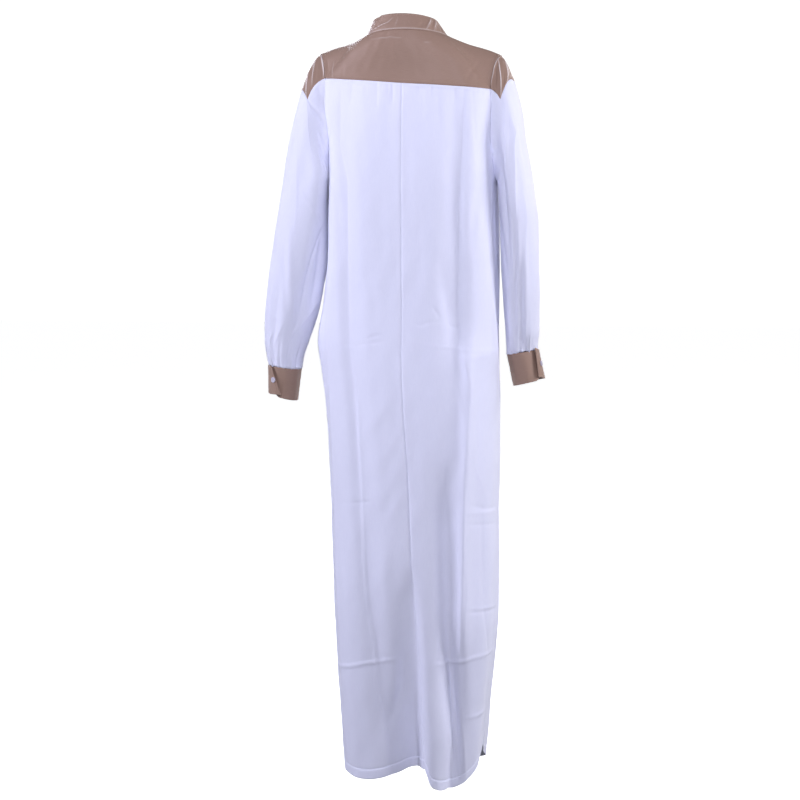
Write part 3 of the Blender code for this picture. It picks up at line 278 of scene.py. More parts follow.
def run_smoothly(keys, values):
    """A curve through the values at the keys that never overshoots them."""
    order = np.argsort(keys)
    keys = np.array(keys, float)[order]
    values = np.array(values, float)[order]
    slopes = np.diff(values) / np.diff(keys)
    agree = slopes[:-1] * slopes[1:] > 0.0
    total = np.where(agree, slopes[:-1] + slopes[1:], 1.0)
    leans = np.concatenate([
        slopes[:1], np.where(agree, 2.0 * slopes[:-1] * slopes[1:] / total, 0.0), slopes[-1:]])

    def curve(place):
        place = np.asarray(place, float)
        held = np.clip(place, keys[0], keys[-1])
        i = np.clip(np.searchsorted(keys, held, side="right") - 1, 0, len(keys) - 2)
        span = keys[i + 1] - keys[i]
        t = (held - keys[i]) / span
        a, b, c, d = curve_weights(t)
        level = a * values[i] + b * values[i + 1]
        lean = c * leans[i] + d * leans[i + 1]
        beyond = np.clip(place - held, -0.02, 0.02)
        return level + lean * span + beyond * np.where(beyond < 0.0, leans[0], leans[-1])

    return curve


BODY_CURVES = {name: run_smoothly(BODY["height"], BODY[name]) for name in BODY if name != "height"}
BACK_SEAM = run_smoothly(
    (-0.10, -0.60, -0.69, -0.88, -1.10, -1.25, -1.35, -1.45),
    (0.000, -0.001, -0.004, -0.016, -0.026, -0.038, -0.043, -0.050))
HEM_CURVES = {key: run_smoothly(*hem) for key, hem in HEMS.items()}

# Each quarter of the body's sections, laid out evenly from the middle of a face to the side seam.
LEVELS = np.linspace(-0.020, -1.480, 731)
EVEN = np.linspace(0.0, 1.0, 241)
QUARTERS = {}
for side in (LEFT, RIGHT):
    for face in (BACK, FRONT):
        half_width = BODY_CURVES["left" if side == LEFT else "right"](LEVELS)[:, None]
        limit = BODY_CURVES["back" if face == BACK else "front"](LEVELS)
        half_depth = np.abs(limit - SIDE_SEAM_Y)[:, None]
        power = 2.0 / BODY_CURVES["squareness"](LEVELS)[:, None]
        turns = np.linspace(0.0, 0.5 * math.pi, 181)[None, :]
        xs = side * half_width * np.sin(turns) ** power
        ys = SIDE_SEAM_Y + face * half_depth * np.maximum(np.cos(turns), 0.0) ** power
        steps = np.hypot(np.diff(xs), np.diff(ys))
        runs = np.concatenate([np.zeros((len(LEVELS), 1)), np.cumsum(steps, axis=1)], axis=1)
        even_x = np.array([np.interp(EVEN * r[-1], r, x) for r, x in zip(runs, xs)])
        even_y = np.array([np.interp(EVEN * r[-1], r, y) for r, y in zip(runs, ys)])
        QUARTERS[side, face] = (even_x, even_y, runs[:, -1])


def level_row(height):
    return (LEVELS[0] - height) / (LEVELS[0] - LEVELS[1])


def between(table, row, column):
    """Values between the entries of a table."""
    row = np.clip(row, 0.0, table.shape[0] - 1.001)
    column = np.clip(column, 0.0, table.shape[1] - 1.001)
    i = row.astype(int)
    j = column.astype(int)
    a = row - i
    b = column - j
    upper = table[i, j] * (1.0 - b) + table[i, j + 1] * b
    lower = table[i + 1, j] * (1.0 - b) + table[i + 1, j + 1] * b
    return upper * (1.0 - a) + lower * a


def half_round(side, face, height):
    """Distance round the body from the middle of a face to the side seam."""
    return np.interp(height, LEVELS[::-1], QUARTERS[side, face][2][::-1])


def fold_depth(face, across, height):
    total = np.zeros(np.broadcast(across, height).shape)
    for (fold_face, top, across_top, low, across_low, depth_top, depth_low,
         left_width, right_width) in FOLDS:
        if fold_face != face:
            continue
        part = (top - height) / (top - low)
        fade = ease((top + FOLD_FADE * 0.5 - height) / FOLD_FADE) * ease(
            (height - low + FOLD_FADE * 0.5) / FOLD_FADE)
        offset = across - mix(across_top, across_low, part)
        width = np.where(offset > 0.0, left_width, right_width)
        total = total + mix(depth_top, depth_low, part) * fade * ridge(offset, 0.0, width)
    whole = np.where(across >= 0.0, half_round(LEFT, face, height), half_round(RIGHT, face, height))
    return total * ease((whole - np.abs(across)) / SEAM_FADE)


def body_points(face, across, height):
    """Points on the outer face of the body cloth, by distance round it and height."""
    across, height = np.broadcast_arrays(np.asarray(across, float), np.asarray(height, float))
    row = level_row(height)
    found = []
    for side in (LEFT, RIGHT):
        even_x, even_y, _ = QUARTERS[side, face]
        column = np.abs(across) / half_round(side, face, height) * (len(EVEN) - 1)
        x = between(even_x, row, column)
        y = between(even_y, row, column)
        ahead = between(even_x, row, column + 0.6) - between(even_x, row, column - 0.6)
        aside = between(even_y, row, column + 0.6) - between(even_y, row, column - 0.6)
        length = np.maximum(np.hypot(ahead, aside), 1e-9)
        found.append((x, y, -side * face * aside / length, side * face * ahead / length))
    x, y, out_x, out_y = (np.where(across >= 0.0, a, b) for a, b in zip(*found))
    depth = fold_depth(face, across, height)
    return np.stack([x + out_x * depth, y + out_y * depth, height], axis=-1)


def hole_middle(hole):
    """Height of an armhole's middle, and half its height."""
    return 0.5 * (hole["top"] + hole["bottom"]), 0.5 * (hole["top"] - hole["bottom"])


def hole_view(side, angle):
    """Side view of an armhole; angle in degrees from its top, positive towards the back."""
    hole = ARMHOLES[side]
    middle, half_height = hole_middle(hole)
    turn = np.radians(angle)
    return SIDE_SEAM_Y + hole["half_depth"] * np.sin(turn), middle + half_height * np.cos(turn)


def corner_level(side):
    """Height at which the yoke's seams reach an armhole."""
    return hole_view(side, ARMHOLES[side]["corner"])[1]


# Where each armhole's edge runs: distance round the body, and points, by angle.
HOLE_TURNS = np.linspace(0.0, 180.0, 721)
HOLE_ACROSS = {}
HOLE_POINTS = {}
for side in (LEFT, RIGHT):
    for face in (BACK, FRONT):
        deep, high = hole_view(side, HOLE_TURNS * face)
        even_x, even_y, whole = QUARTERS[side, face]
        rows = level_row(high)
        reach = []
        for row, y in zip(rows, deep):
            i = int(row)
            ys = mix(even_y[i], even_y[i + 1], row - i)
            round_row = EVEN * mix(whole[i], whole[i + 1], row - i)
            reach.append(np.interp(-y * face, -ys * face, round_row))
        HOLE_ACROSS[side, face] = np.array(reach)
        HOLE_POINTS[side, face] = body_points(face, side * HOLE_ACROSS[side, face], high)


def hole_points(side, angle):
    angle = np.asarray(angle, float)
    back, front = (points_at(np.abs(angle), HOLE_TURNS, HOLE_POINTS[side, face])
                   for face in (BACK, FRONT))
    return np.where((angle >= 0.0)[..., None], back, front)


def edge_across(side, face, height):
    """Where a body panel ends: at the armhole, or below it at the side seam."""
    hole = ARMHOLES[side]
    middle, half_height = hole_middle(hole)
    angle = np.degrees(np.arccos(np.clip((height - middle) / half_height, -1.0, 1.0)))
    beside_hole = np.interp(angle, HOLE_TURNS, HOLE_ACROSS[side, face])
    return side * np.where(height <= hole["bottom"], half_round(side, face, height), beside_hole)


def row_fraction(side, row, place):
    """How far down a row lies: 0 at the top, 1 at the underarm, 2 at the hem."""
    held = np.clip(row, 0.0, UNDERARM_ROW)
    found = {}
    for other in (LEFT, RIGHT):
        hole = ARMHOLES[other]
        corner = corner_level(other)
        height = hole_view(other, mix(hole["corner"], 180.0, held / UNDERARM_ROW))[1]
        found[other] = (corner - height) / (corner - hole["bottom"])
    upper = mix(0.5 * (found[LEFT] + found[RIGHT]), found[side], ease(place))
    lower = 1.0 + (row - UNDERARM_ROW) / (HEM_ROW - UNDERARM_ROW)
    return np.where(row >= UNDERARM_ROW, lower, upper)


def panel_height(side, face, place, row, top_level):
    fraction = row_fraction(side, row, place)
    underarm = ARMHOLES[side]["bottom"]
    hem = HEM_CURVES[face, side](np.clip(place, 0.0, 1.0))
    upper = mix(top_level, underarm, fraction)
    return np.where(fraction <= 1.0, upper, mix(underarm, hem, fraction - 1.0))


def panel_end(side, face, held, height):
    """A panel's edge at the height held, swung open where height lies in the side slit."""
    return edge_across(side, face,
        held) - side * (SLIT_SPREAD * ease((SLIT_TOP - height) / SLIT_FADE))


def hem_turn(above_hem):
    """Where the hem is turned up, and the lift of its edge and of the line sewn above it."""
    turned_up = ease((HEM_BAND - above_hem) / 0.0016)
    return turned_up, 0.0005 * turned_up - 0.0006 * ridge(above_hem, HEM_BAND, 0.0014)


def back_lay(side, place, row):
    """Distance round and height of places on a back panel."""
    top = mix(BACK_SEAM_DIP, corner_level(side), place)
    height = panel_height(side, BACK, place, row, top)
    end = panel_end(side, BACK, height, height)
    return mix(BACK_SEAM(height), end, place), height


def furrows(lay, lines):
    """Lift of the cloth from creases given by their paths over it, depths and widths, in mm.

    One width makes a soft round crease. A pair makes a sharp one, with a flank on each side of
    its path: for a path that runs down the cloth, first the flank on the robe's left.
    """
    lay = lay * 1000.0
    total = np.zeros(len(lay))
    for path, depth, width in lines:
        path = np.array(path, float)
        sharp = isinstance(width, tuple)
        reach = 5.0 * max(width) if sharp else 3.0 * width
        low = path.min(axis=0) - reach
        high = path.max(axis=0) + reach
        near = np.nonzero(((lay > low) & (lay < high)).all(axis=1))[0]
        if len(near) == 0:
            continue
        steps = np.diff(path, axis=0)
        spans = np.linalg.norm(steps, axis=1)
        best = np.full(len(near), 1e9)
        share = np.zeros(len(near))
        hand = np.zeros(len(near))
        run = 0.0
        for start, step, span in zip(path, steps, spans):
            offset = lay[near] - start
            along = np.clip(offset @ step / span ** 2, 0.0, 1.0)
            off = np.linalg.norm(offset - along[:, None] * step, axis=1)
            nearer = off < best
            best = np.where(nearer, off, best)
            share = np.where(nearer, (run + along * span) / spans.sum(), share)
            hand = np.where(nearer, step[0] * offset[:, 1] - step[1] * offset[:, 0], hand)
            run += span
        if sharp:
            shape = np.exp(-best / np.where(hand > 0.0, width[0], width[1]))
        else:
            shape = ridge(best, 0.0, width)
        total[near] += depth * np.sin(math.pi * share) ** 0.7 * shape
    return total * 0.001


def seam_turn(distance, depth=SEAM_DIP):
    """Lift of the cloth beside a seam: it turns down into the seam over a raised allowance."""
    allowance = 0.35 * depth * ridge(distance, 0.0042, 0.0026)
    return allowance - depth * ridge(distance, 0.0, SEAM_REACH)


def uneven(lay, amount):
    """A slow unevenness that all worn cloth has, longer down the cloth than across it."""
    u, v = lay[:, 0], lay[:, 1]
    waves = np.sin(u * 97.0 + 1.3 * np.sin(v * 13.0))
    waves *= np.sin(v * 21.0 + 2.0 * np.sin(u * 31.0) + 0.7)
    waves += 0.6 * np.sin(u * 171.0 + v * 29.0 + 1.1) * np.sin(v * 47.0 - u * 38.0)
    return amount * waves


def grid_faces(index):
    """Faces between neighbouring points of a grid; -1 marks a place with no point."""
    corners = np.stack([index[:-1, :-1], index[:-1, 1:], index[1:, 1:], index[1:, :-1]], axis=-1)
    corners = corners.reshape(-1, 4)
    return corners[(corners >= 0).all(axis=1)]


def facings(points, faces, away_from):
    """The way the cloth faces at each point, and its faces turned to match."""
    a, b, c, d = (points[faces[:, i]] for i in range(4))
    square = np.cross(c - a, d - b)
    total = np.zeros_like(points)
    for i in range(4):
        np.add.at(total, faces[:, i], square)
    total /= np.maximum(np.linalg.norm(total, axis=1), 1e-12)[:, None]
    if (total * (points - np.asarray(away_from))).sum() < 0.0:
        return -total, faces[:, ::-1]
    return total, faces


def lift(points, faces, away_from, height):
    """Move the cloth out from itself by a height at each point."""
    out, _ = facings(points, faces, away_from)
    return points + out * np.asarray(height)[:, None]


def painted_crest_highlight(lay, highlight_lines):
    """How strongly a painted highlight shows along the cloth's pressed ridges, from 0 to 1."""
    return np.clip(1000.0 * furrows(lay, highlight_lines), 0.0, 1.0)


def put_in_scene(name, mesh):
    made = bpy.data.objects.new(name, mesh)
    bpy.context.scene.collection.objects.link(made)
    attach(made, "root")
    return made


def make_cloth(name, points, faces, lay, wall, finish, away_from, highlight_share=None):
    """A thin closed piece: outer and inner faces with a rounded edge all round.

    Its last argument says, point by point, how strongly a painted highlight shows along pressed
    ridges.
    """
    out, faces = facings(points, faces, away_from)
    count = len(points)
    wall = np.broadcast_to(np.asarray(wall, float), (count,))
    inner = points - out * wall[:, None]
    edges = np.concatenate([faces[:, [i, (i + 1) % 4]] for i in range(4)])
    keys = np.sort(edges, axis=1) @ np.array([count, 1])
    _, first, times = np.unique(keys, return_index=True, return_counts=True)
    rim = edges[first[times == 1]]
    beyond = np.zeros_like(points)
    sideways = np.cross(points[rim[:, 1]] - points[rim[:, 0]], out[rim[:, 0]])
    for i in range(2):
        np.add.at(beyond, rim[:, i], sideways)
    on_rim = np.unique(rim)
    way = beyond[on_rim] / np.maximum(np.linalg.norm(beyond[on_rim], axis=1), 1e-12)[:, None]
    middle = 0.5 * (points[on_rim] + inner[on_rim]) + way * wall[on_rim, None] * 0.5
    number = np.full(count, -1)
    number[on_rim] = 2 * count + np.arange(len(on_rim))
    a, b = rim[:, 0], rim[:, 1]
    solid = np.concatenate([
        faces,
        faces[:, ::-1] + count,
        np.stack([a, number[a], number[b], b], axis=1),
        np.stack([number[a], a + count, b + count, number[b]], axis=1)])
    verts = np.concatenate([points, inner, middle])
    layout = np.concatenate([lay, lay, lay[on_rim]])
    mesh = bpy.data.meshes.new(name)
    mesh.from_pydata(verts.tolist(), [], solid.tolist())
    chart = mesh.uv_layers.new(name="lay")
    chart.data.foreach_set("uv", layout[solid.ravel()].astype(np.float32).ravel())
    # the painted highlight along pressed ridges, kept on each point for the satin's colour to read
    if highlight_share is not None:
        painted_highlight = mesh.attributes.new("painted_highlight", "FLOAT", "POINT")
        highlight_values = np.concatenate([highlight_share, highlight_share, highlight_share[on_rim]])
        painted_highlight.data.foreach_set("value", highlight_values.astype(np.float32))
    mesh.materials.append(finish)
    mesh.shade_smooth()
    made = put_in_scene(name, mesh)
    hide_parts(name.replace("_cloth", ""))
    return made


def cloth_from_grid(name, grid, lay, raised, wall, finish, away_from, highlight_share=None):
    """Cloth from a whole grid of points, lifted by raised; also returns the lifted grid."""
    faces = grid_faces(np.arange(len(lay)).reshape(grid.shape[:2]))
    points = lift(grid.reshape(-1, 3), faces, away_from, raised)
    made = make_cloth(name, points, faces, lay, wall, finish, away_from, highlight_share)
    return made, points.reshape(grid.shape)


def noise(tree, place, **inputs):
    return add_node(tree, "ShaderNodeTexNoise", {"Vector": place, **inputs}).outputs["Fac"]


def wave(tree, place, pitch, way, **inputs):
    return add_node(tree, "ShaderNodeTexWave", {
        "Vector": place, "Scale": WAVE_SCALE / pitch, "Detail": 1.0, **inputs},
        bands_direction=way).outputs["Fac"]


def mapped(tree, place, **inputs):
    return add_node(tree, "ShaderNodeMapping", {"Vector": place, **inputs}).outputs[0]


def blend(tree, share, first, second):
    return add_node(tree, "ShaderNodeMix", {
        0: share, 6: first, 7: second}, data_type="RGBA").outputs[2]


def bump(tree, height, **inputs):
    return add_node(tree, "ShaderNodeBump", {"Height": height, **inputs}).outputs[0]


# Plain-woven polyester-cotton, bleached and pressed. It is matt and slightly blue-white, with
# a faint sheen at grazing angles. The real 0.35 mm thread pitch is drawn at 1.4 mm to show.
THREAD_PITCH = 0.0014
WAVE_SCALE = 0.1 * math.pi  # a wave texture of scale 1 repeats after this length

white_cloth, tree, shader = new_material("bleached_plain_weave")
chart = add_node(tree, "ShaderNodeUVMap", {}, uv_map="lay").outputs[0]
warp, weft = (wave(tree, chart, THREAD_PITCH, way, Distortion=0.4) for way in "XY")
crossing = add_node(tree, "ShaderNodeMath", {0: warp, 1: weft}, operation="ADD")
stretched = mapped(tree, chart, Scale=(9.0, 1.0, 1.0))
slub = noise(tree, stretched, Scale=60.0, Detail=3.0, Roughness=0.6)
crumple = noise(tree, chart, Scale=38.0, Detail=4.0, Roughness=0.55)
colour = blend(tree, slub, tint("E6E7F8"), tint("EEEFFD"))
fine_bump = bump(tree, crossing.outputs[0], Strength=0.22, Distance=0.0004)
soft_bump = bump(tree, crumple, Strength=0.25, Distance=0.0012, Normal=fine_bump)
finish_shader(tree, shader, {"Base Color": colour, "Normal": soft_bump}, {
    "Roughness": 0.78, "Specular IOR Level": 0.25, "Subsurface Weight": 0.35,
    "Subsurface Radius": (1.0, 1.0, 1.0), "Subsurface Scale": 0.004, "Sheen Weight": 0.15,
    "Sheen Roughness": 0.4})

# Finer creases of the back, in mm: where the yoke gathers the cloth, drags below the armholes,
# and the lines left by folding for the packet, which cross both panels.
BACK_CREASES = (
    # gathers below the yoke
    (((50, -68), (47, -140)), -1.5, (9, 4)), (((40, -68), (38, -110)), -0.8, (2.5, 2.5)),
    (((28, -68), (26, -118)), -1.0, (3, 3)), (((19, -70), (17, -134)), -1.7, (4, 4)),
    (((103, -62), (104, -142)), -1.4, (7, 16)), (((75, -64), (70, -118)), -0.8, (6, 6)),
    (((-32, -74), (-34, -122)), -1.4, (4, 4)), (((-39, -74), (-40, -168)), -1.0, (5, 9)),
    (((-55, -74), (-57, -130)), -1.5, (4, 4)), (((-66, -74), (-75, -198)), -1.5, (7, 16)),
    (((-100, -74), (-102, -134)), -1.4, (6, 6)),
    (((-131, -78), (-141, -174), (-151, -276)), -1.2, (9, 10)),
    (((153, -64), (149, -118)), -1.0, (4, 4)), (((-153, -76), (-157, -126)), -0.8, (4, 4)),
    # long folds on the left half
    (((129, -72), (128, -142), (129, -208), (121, -242), (112, -274), (111, -370), (110, -470),
      (108, -542), (105, -598)), -3.2, (18, 5)),
    (((106, -572), (99, -618), (93, -656), (88, -694), (84, -772), (80, -848), (77, -926),
      (75, -1004), (69, -1080), (59, -1158)), 2.4, (3, 15)),
    (((63, -1100), (53, -1178), (50, -1238), (42, -1286), (34, -1336), (29, -1378), (27, -1454)),
      3.0, (14, 4)),
    (((168, -216), (166, -370), (161, -504), (158, -658), (152, -822), (145, -1010), (134, -1126),
      (124, -1284)), 2.2, (4, 16)), (((77, -430), (53, -484), (45, -558)), -0.7, 10),
    # long folds by the middle
    (((-3, -654), (-7, -730), (-12, -806), (-16, -902), (-18, -968), (-21, -1046), (-24, -1116),
      (-27, -1176), (-33, -1234), (-37, -1294), (-45, -1360), (-52, -1448)), -2.6, (8, 15)),
    (((-33, -258), (-37, -388), (-41, -502)), -0.9, (14, 14)),
    (((-71, -408), (-82, -482), (-99, -548)), -1.4, 12),
    (((69, -762), (36, -718), (8, -672)), 0.8, 12),
    (((48, -834), (16, -780), (-13, -726)), 0.8, 12),
    (((44, -904), (16, -848), (-14, -794)), 0.8, 12),
    (((27, -930), (4, -888), (-18, -856)), 0.5, 8),
    (((22, -1176), (28, -1078), (27, -1000), (15, -950), (-8, -894)), 0.9, 14),
    (((-6, -1178), (2, -1258), (14, -1296), (30, -1328)), -3.0, 9),
    # long folds on the right half
    (((-120, -62), (-118, -164), (-116, -220), (-114, -276), (-109, -332), (-108, -426),
      (-108, -520), (-111, -568), (-119, -608)), -3.4, (14, 7)),
    (((-87, -574), (-99, -638), (-112, -680), (-122, -728), (-124, -784), (-122, -842),
      (-121, -900), (-120, -996), (-120, -1072), (-118, -1152), (-118, -1216)), 1.6, (9, 3)),
    (((-122, -774), (-122, -824), (-122, -900), (-121, -976), (-121, -1024)), 1.5, (1.8, 1.8)),
    (((-113, -578), (-121, -618), (-130, -662), (-131, -690), (-126, -746), (-126, -824),
      (-128, -890)), 3.0, (3, 13)),
    (((-101, -882), (-106, -958), (-107, -1016), (-109, -1074), (-110, -1152), (-115, -1218)),
      -2.6, (14, 6)),
    (((-121, -996), (-124, -1054), (-120, -1112), (-120, -1172), (-119, -1208)), -0.9, 1.8),
    (((-140, -728), (-141, -796), (-152, -836), (-168, -866), (-184, -898)), 0.9, 2.2),
    (((-163, -884), (-166, -1000), (-168, -1098), (-185, -1200)), -2.4, (10, 8)),
    (((-84, -1172), (-97, -1232), (-102, -1312), (-109, -1392), (-117, -1456)), 2.8, (10, 3)),
    (((-107, -1194), (-112, -1274), (-118, -1352), (-125, -1454)), -3.4, (5, 5)),
    (((-119, -1232), (-126, -1332), (-137, -1456)), 2.0, (6, 5)),
    (((-112, -616), (-160, -606), (-230, -604)), 5.0, (60, 40)),
    # the worn edges beside the armholes
    (((-175, -80), (-188, -200), (-193, -312), (-192, -450)), 1.0, 2.4),
    (((168, -76), (180, -196), (177, -300)), 0.8, 2.4),
    # drags below the armholes
    (((152, -250), (134, -330), (124, -430)), -1.4, 9),
    (((-158, -262), (-142, -340), (-134, -420)), -1.4, 9),
    # folding lines
    (((144, -590), (105, -590), (69, -586), (44, -582), (17, -580)), -0.6, 2.0),
    (((-22, -586), (-75, -590), (-99, -592), (-118, -596), (-143, -598), (-225, -600)), 0.8, 2.0),
    (((-22, -544), (-37, -550), (-52, -544), (-83, -542)), -0.6, 2.2),
    (((-60, -514), (-69, -526), (-75, -538)), -0.8, 2.4),
    (((73, -580), (56, -572), (35, -568)), -0.7, 2.2),
    (((-90, -548), (-105, -554), (-116, -552)), -1.0, 2.6),
    (((176, -1222), (101, -1212), (71, -1204), (43, -1200), (-4, -1192)), 1.4, 2.4),
    (((-53, -1202), (-78, -1200), (-110, -1198), (-127, -1194), (-146, -1188), (-225, -1184)),
      1.5, 2.4), (((-133, -892), (-171, -902), (-225, -904)), -1.1, 2.2),
    (((-99, -904), (-133, -908), (-225, -912)), 0.9, 2.0),
    (((-121, -928), (-158, -932), (-225, -936)), -0.9, 2.0),
    (((-126, -1090), (-156, -1094), (-225, -1097)), 1.1, 2.0),
    (((-126, -1098), (-156, -1100), (-225, -1103)), -1.1, 2.0),
    (((-125, -1308), (-149, -1306), (-205, -1300)), 1.3, 2.4),
    (((140, -896), (99, -894), (71, -890), (35, -890)), -0.6, 2.2),
)
BACK_CREASE_LIFT = 1.35     # the creases' depths are scaled by this


def panel_rows(upper, lower, hem):
    """Rows of a panel, closer at its top seam and its hem; counts of rows in three parts."""
    return np.concatenate([
        (0.0, 0.035, 0.07, 0.11, 0.16, 0.22, 0.29, 0.38, 0.50),
        np.linspace(0.66, UNDERARM_ROW, upper), np.linspace(UNDERARM_ROW, HEM_SEAM_ROW, lower)[1:],
        np.linspace(HEM_SEAM_ROW, HEM_ROW, hem)[1:]])


PANEL_ROWS = panel_rows(53, 330, 19)
PANEL_PLACES = graded(
    (0.0, 0.004, 0.008, 0.013, 0.020), (0.034, 0.966, 84), (0.980, 0.987, 0.992, 0.996, 1.0))
hem_grids = []
for name, side in (("back_left", LEFT), ("back_right", RIGHT)):
    place, row = np.meshgrid(PANEL_PLACES, PANEL_ROWS)
    across, height = back_lay(side, place, row)
    lay = flat_lay(across, height)
    beside_edge = np.abs(panel_end(side, BACK, height, height) - across)
    below_top = np.abs(height - height[:1])
    turned_up, hem_line = hem_turn(np.abs(height - height[-1:]))
    rolled = seam_turn(np.abs(across - BACK_SEAM(height)), depth=0.0008)
    rolled += seam_turn(below_top, depth=0.0016)
    at_hole = 0.0008 * ridge(beside_edge, 0.002, 0.002)
    rolled += np.where(height > ARMHOLES[side]["bottom"], at_hole, seam_turn(beside_edge))
    rolled += hem_line
    # the seam holds the top edge flat, so the creases begin just below it
    held_flat = ease(below_top / SEWN_FLAT).ravel()
    raised = BACK_CREASE_LIFT * furrows(lay, BACK_CREASES) + uneven(lay, UNEVEN)
    raised = raised * held_flat + rolled.ravel()
    back_middle = (0.0, -0.6, -0.7)
    wall = CLOTH + HEM_THICKER * turned_up.ravel()
    back, grid = cloth_from_grid(name + "_cloth", body_points(BACK, across, height), lay, raised,
                                 wall, white_cloth, back_middle)
    hem_grids.append((grid[-HEM_ROWS:], back_middle))

# ---- front of the body ----
# One width of the same white cloth, slit down its middle as far as the placket reaches so that
# the head can pass. Its shoulders run forward to the yoke's front seams.
NECKLINE = {"centre": (0.003, 0.016), "wide": 0.080, "back": 0.069, "front": 0.084,
            "level": -0.0045, "rise": 0.0115, "drop": 0.0535}
NECK_DROP_POWER = 1.6       # how late the neckline drops towards the front
YOKE_FRONT_ANGLE = -35.0
FRONT_CREASE_LIFT = 1.5
NECK_SHARE = 6.0 / 15.0     # share of each half's top edge that lies on the neckline
PLACKET_LENGTH = 0.290


def neck_points(ring, angle):
    """Points of a neck ring; angle in degrees, 0 at the left side and 90 at the back."""
    turn = np.radians(angle)
    back = np.sin(turn)
    depth = np.where(back > 0.0, ring["back"], ring["front"])
    level = ring["level"] + ring["rise"] * np.maximum(back, 0.0)
    level = level - ring["drop"] * np.maximum(-back, 0.0) ** NECK_DROP_POWER
    x, y = ring["centre"]
    return np.stack([x + ring["wide"] * np.cos(turn), y + depth * back, level], axis=-1)


def unit(way):
    return way / np.maximum(np.linalg.norm(way, axis=-1, keepdims=True), 1e-12)


def arch_facing(side, angle):
    """Which way the cloth faces along the top of an armhole."""
    turn = np.radians(angle)
    across = 0.45 + np.where(turn > 0.0, 0.30, -0.25) * np.sin(turn) ** 2
    return unit(np.stack([side * across, 0.95 * np.sin(turn), 0.95 * np.cos(turn) + 0.1], axis=-1))


def neck_facing(angle):
    """Which way the yoke faces at the neckline."""
    turn = np.radians(angle)
    return unit(np.stack([
        0.40 * np.cos(turn), 0.95 * np.sin(turn), 0.34 + 0.58 * np.cos(turn) ** 2], axis=-1))


def shoulder_points(angle, end, end_facing, t):
    """Points of the smooth curves from the neckline out to points of the yoke's outer edge."""
    t = np.asarray(t, float)[..., None]
    start = neck_points(NECKLINE, angle)
    start_facing = neck_facing(angle)
    chord = end - start
    length = np.linalg.norm(chord, axis=-1, keepdims=True)
    leave = unit(chord - start_facing * (chord * start_facing).sum(-1, keepdims=True)) * length
    arrive = unit(chord - end_facing * (chord * end_facing).sum(-1, keepdims=True)) * length
    a, b, c, d = curve_weights(t)
    return start * a + end * b + leave * c + arrive * d


def front_top(side, place):
    """The front's top edge: the neckline from the middle, then the forward seam to the armhole."""
    place = np.clip(place, 0.0, 1.0)
    angle = mix(-90.0, YOKE_FRONT_ANGLE, np.minimum(place / NECK_SHARE, 1.0))
    angle = angle if side == LEFT else 180.0 - angle
    corner = -ARMHOLES[side]["corner"]
    part = np.maximum((place - NECK_SHARE) / (1.0 - NECK_SHARE), 0.0)
    seam = shoulder_points(angle, hole_points(side, corner), arch_facing(side, corner), part)
    return np.where((place < NECK_SHARE)[..., None], neck_points(NECKLINE, angle), seam)


def front_lay(side, place, row):
    top = front_top(side, place)
    height = panel_height(side, FRONT, place, row, top[..., 2])
    end = panel_end(side, FRONT, np.minimum(height, corner_level(side)), height)
    return place * end, height


def front_points(side, place, row):
    place, row = np.broadcast_arrays(np.asarray(place, float), np.asarray(row, float))
    across, height = front_lay(side, place, row)
    points = body_points(FRONT, across, height)
    top = front_top(side, place)
    top_end = panel_end(side, FRONT, np.minimum(top[..., 2], corner_level(side)), top[..., 2])
    plain = body_points(FRONT, place * top_end, top[..., 2])
    amount = 1.0 - ease(row_fraction(side, row, place) / 0.6)
    shift = (top - plain) * amount[..., None]
    shift[..., 2] = 0.0
    return points + shift


# The hidden side hangs as the back does: gathers along the forward seams, drags from the neck
# and armholes, and the same folding lines carried round.
FRONT_CREASES = (
    (((36, -72), (58, -150)), -1.2, 8), (((-36, -74), (-56, -150)), -1.3, 8),
    (((60, -50), (84, -130)), 1.2, 8), (((-62, -52), (-86, -128)), 1.1, 8),
    (((112, -72), (108, -150)), -1.2, 7), (((-112, -78), (-110, -160)), -1.3, 7),
    (((132, -80), (130, -140)), 1.0, 6), (((-134, -90), (-130, -150)), 1.0, 6),
    (((30, -120), (40, -260), (42, -420)), -1.6, 12),
    (((-30, -130), (-44, -300), (-40, -460)), -1.5, 12),
    (((158, -258), (134, -340), (120, -430)), -1.8, 11),
    (((-162, -262), (-140, -350), (-124, -440)), -1.8, 11),
    (((74, -520), (66, -700), (64, -860)), 1.6, 13),
    (((-60, -560), (-66, -760), (-70, -960)), 1.5, 13),
    (((150, -620), (140, -780), (136, -900)), -1.5, 11),
    (((-150, -620), (-152, -800), (-148, -940)), -1.4, 11),
    (((30, -760), (22, -900), (26, -1040)), -1.4, 10), (((-24, -820), (-20, -980)), 1.2, 10),
    (((110, -980), (100, -1140), (96, -1260)), 1.5, 12),
    (((-112, -1000), (-106, -1160), (-104, -1290)), -1.5, 11),
    (((184, -588), (100, -586), (20, -589), (-70, -585), (-184, -590)), -0.8, 2.6),
    (((160, -1198), (80, -1205), (0, -1208), (-80, -1203), (-168, -1201)), -0.9, 2.4),
    (((130, -901), (60, -898), (-10, -900)), -0.6, 2.4),
    (((-90, -1102), (-160, -1100)), -0.7, 2.4),
)
half_places = np.concatenate([
    (0.0, 0.003, 0.007, 0.013, 0.022), np.linspace(0.04, 0.966, 42),
    (0.980, 0.987, 0.992, 0.996, 1.0)])
front_rows = panel_rows(50, 210, 16)


def drop_unused(index, *tables):
    """Number a grid's points anew, without those that its faces no longer use."""
    used = np.zeros(len(tables[0]), bool)
    used[index[index >= 0]] = True
    index = np.where(index >= 0, (np.cumsum(used) - 1)[index], -1)
    return index, *(table[used] for table in tables)


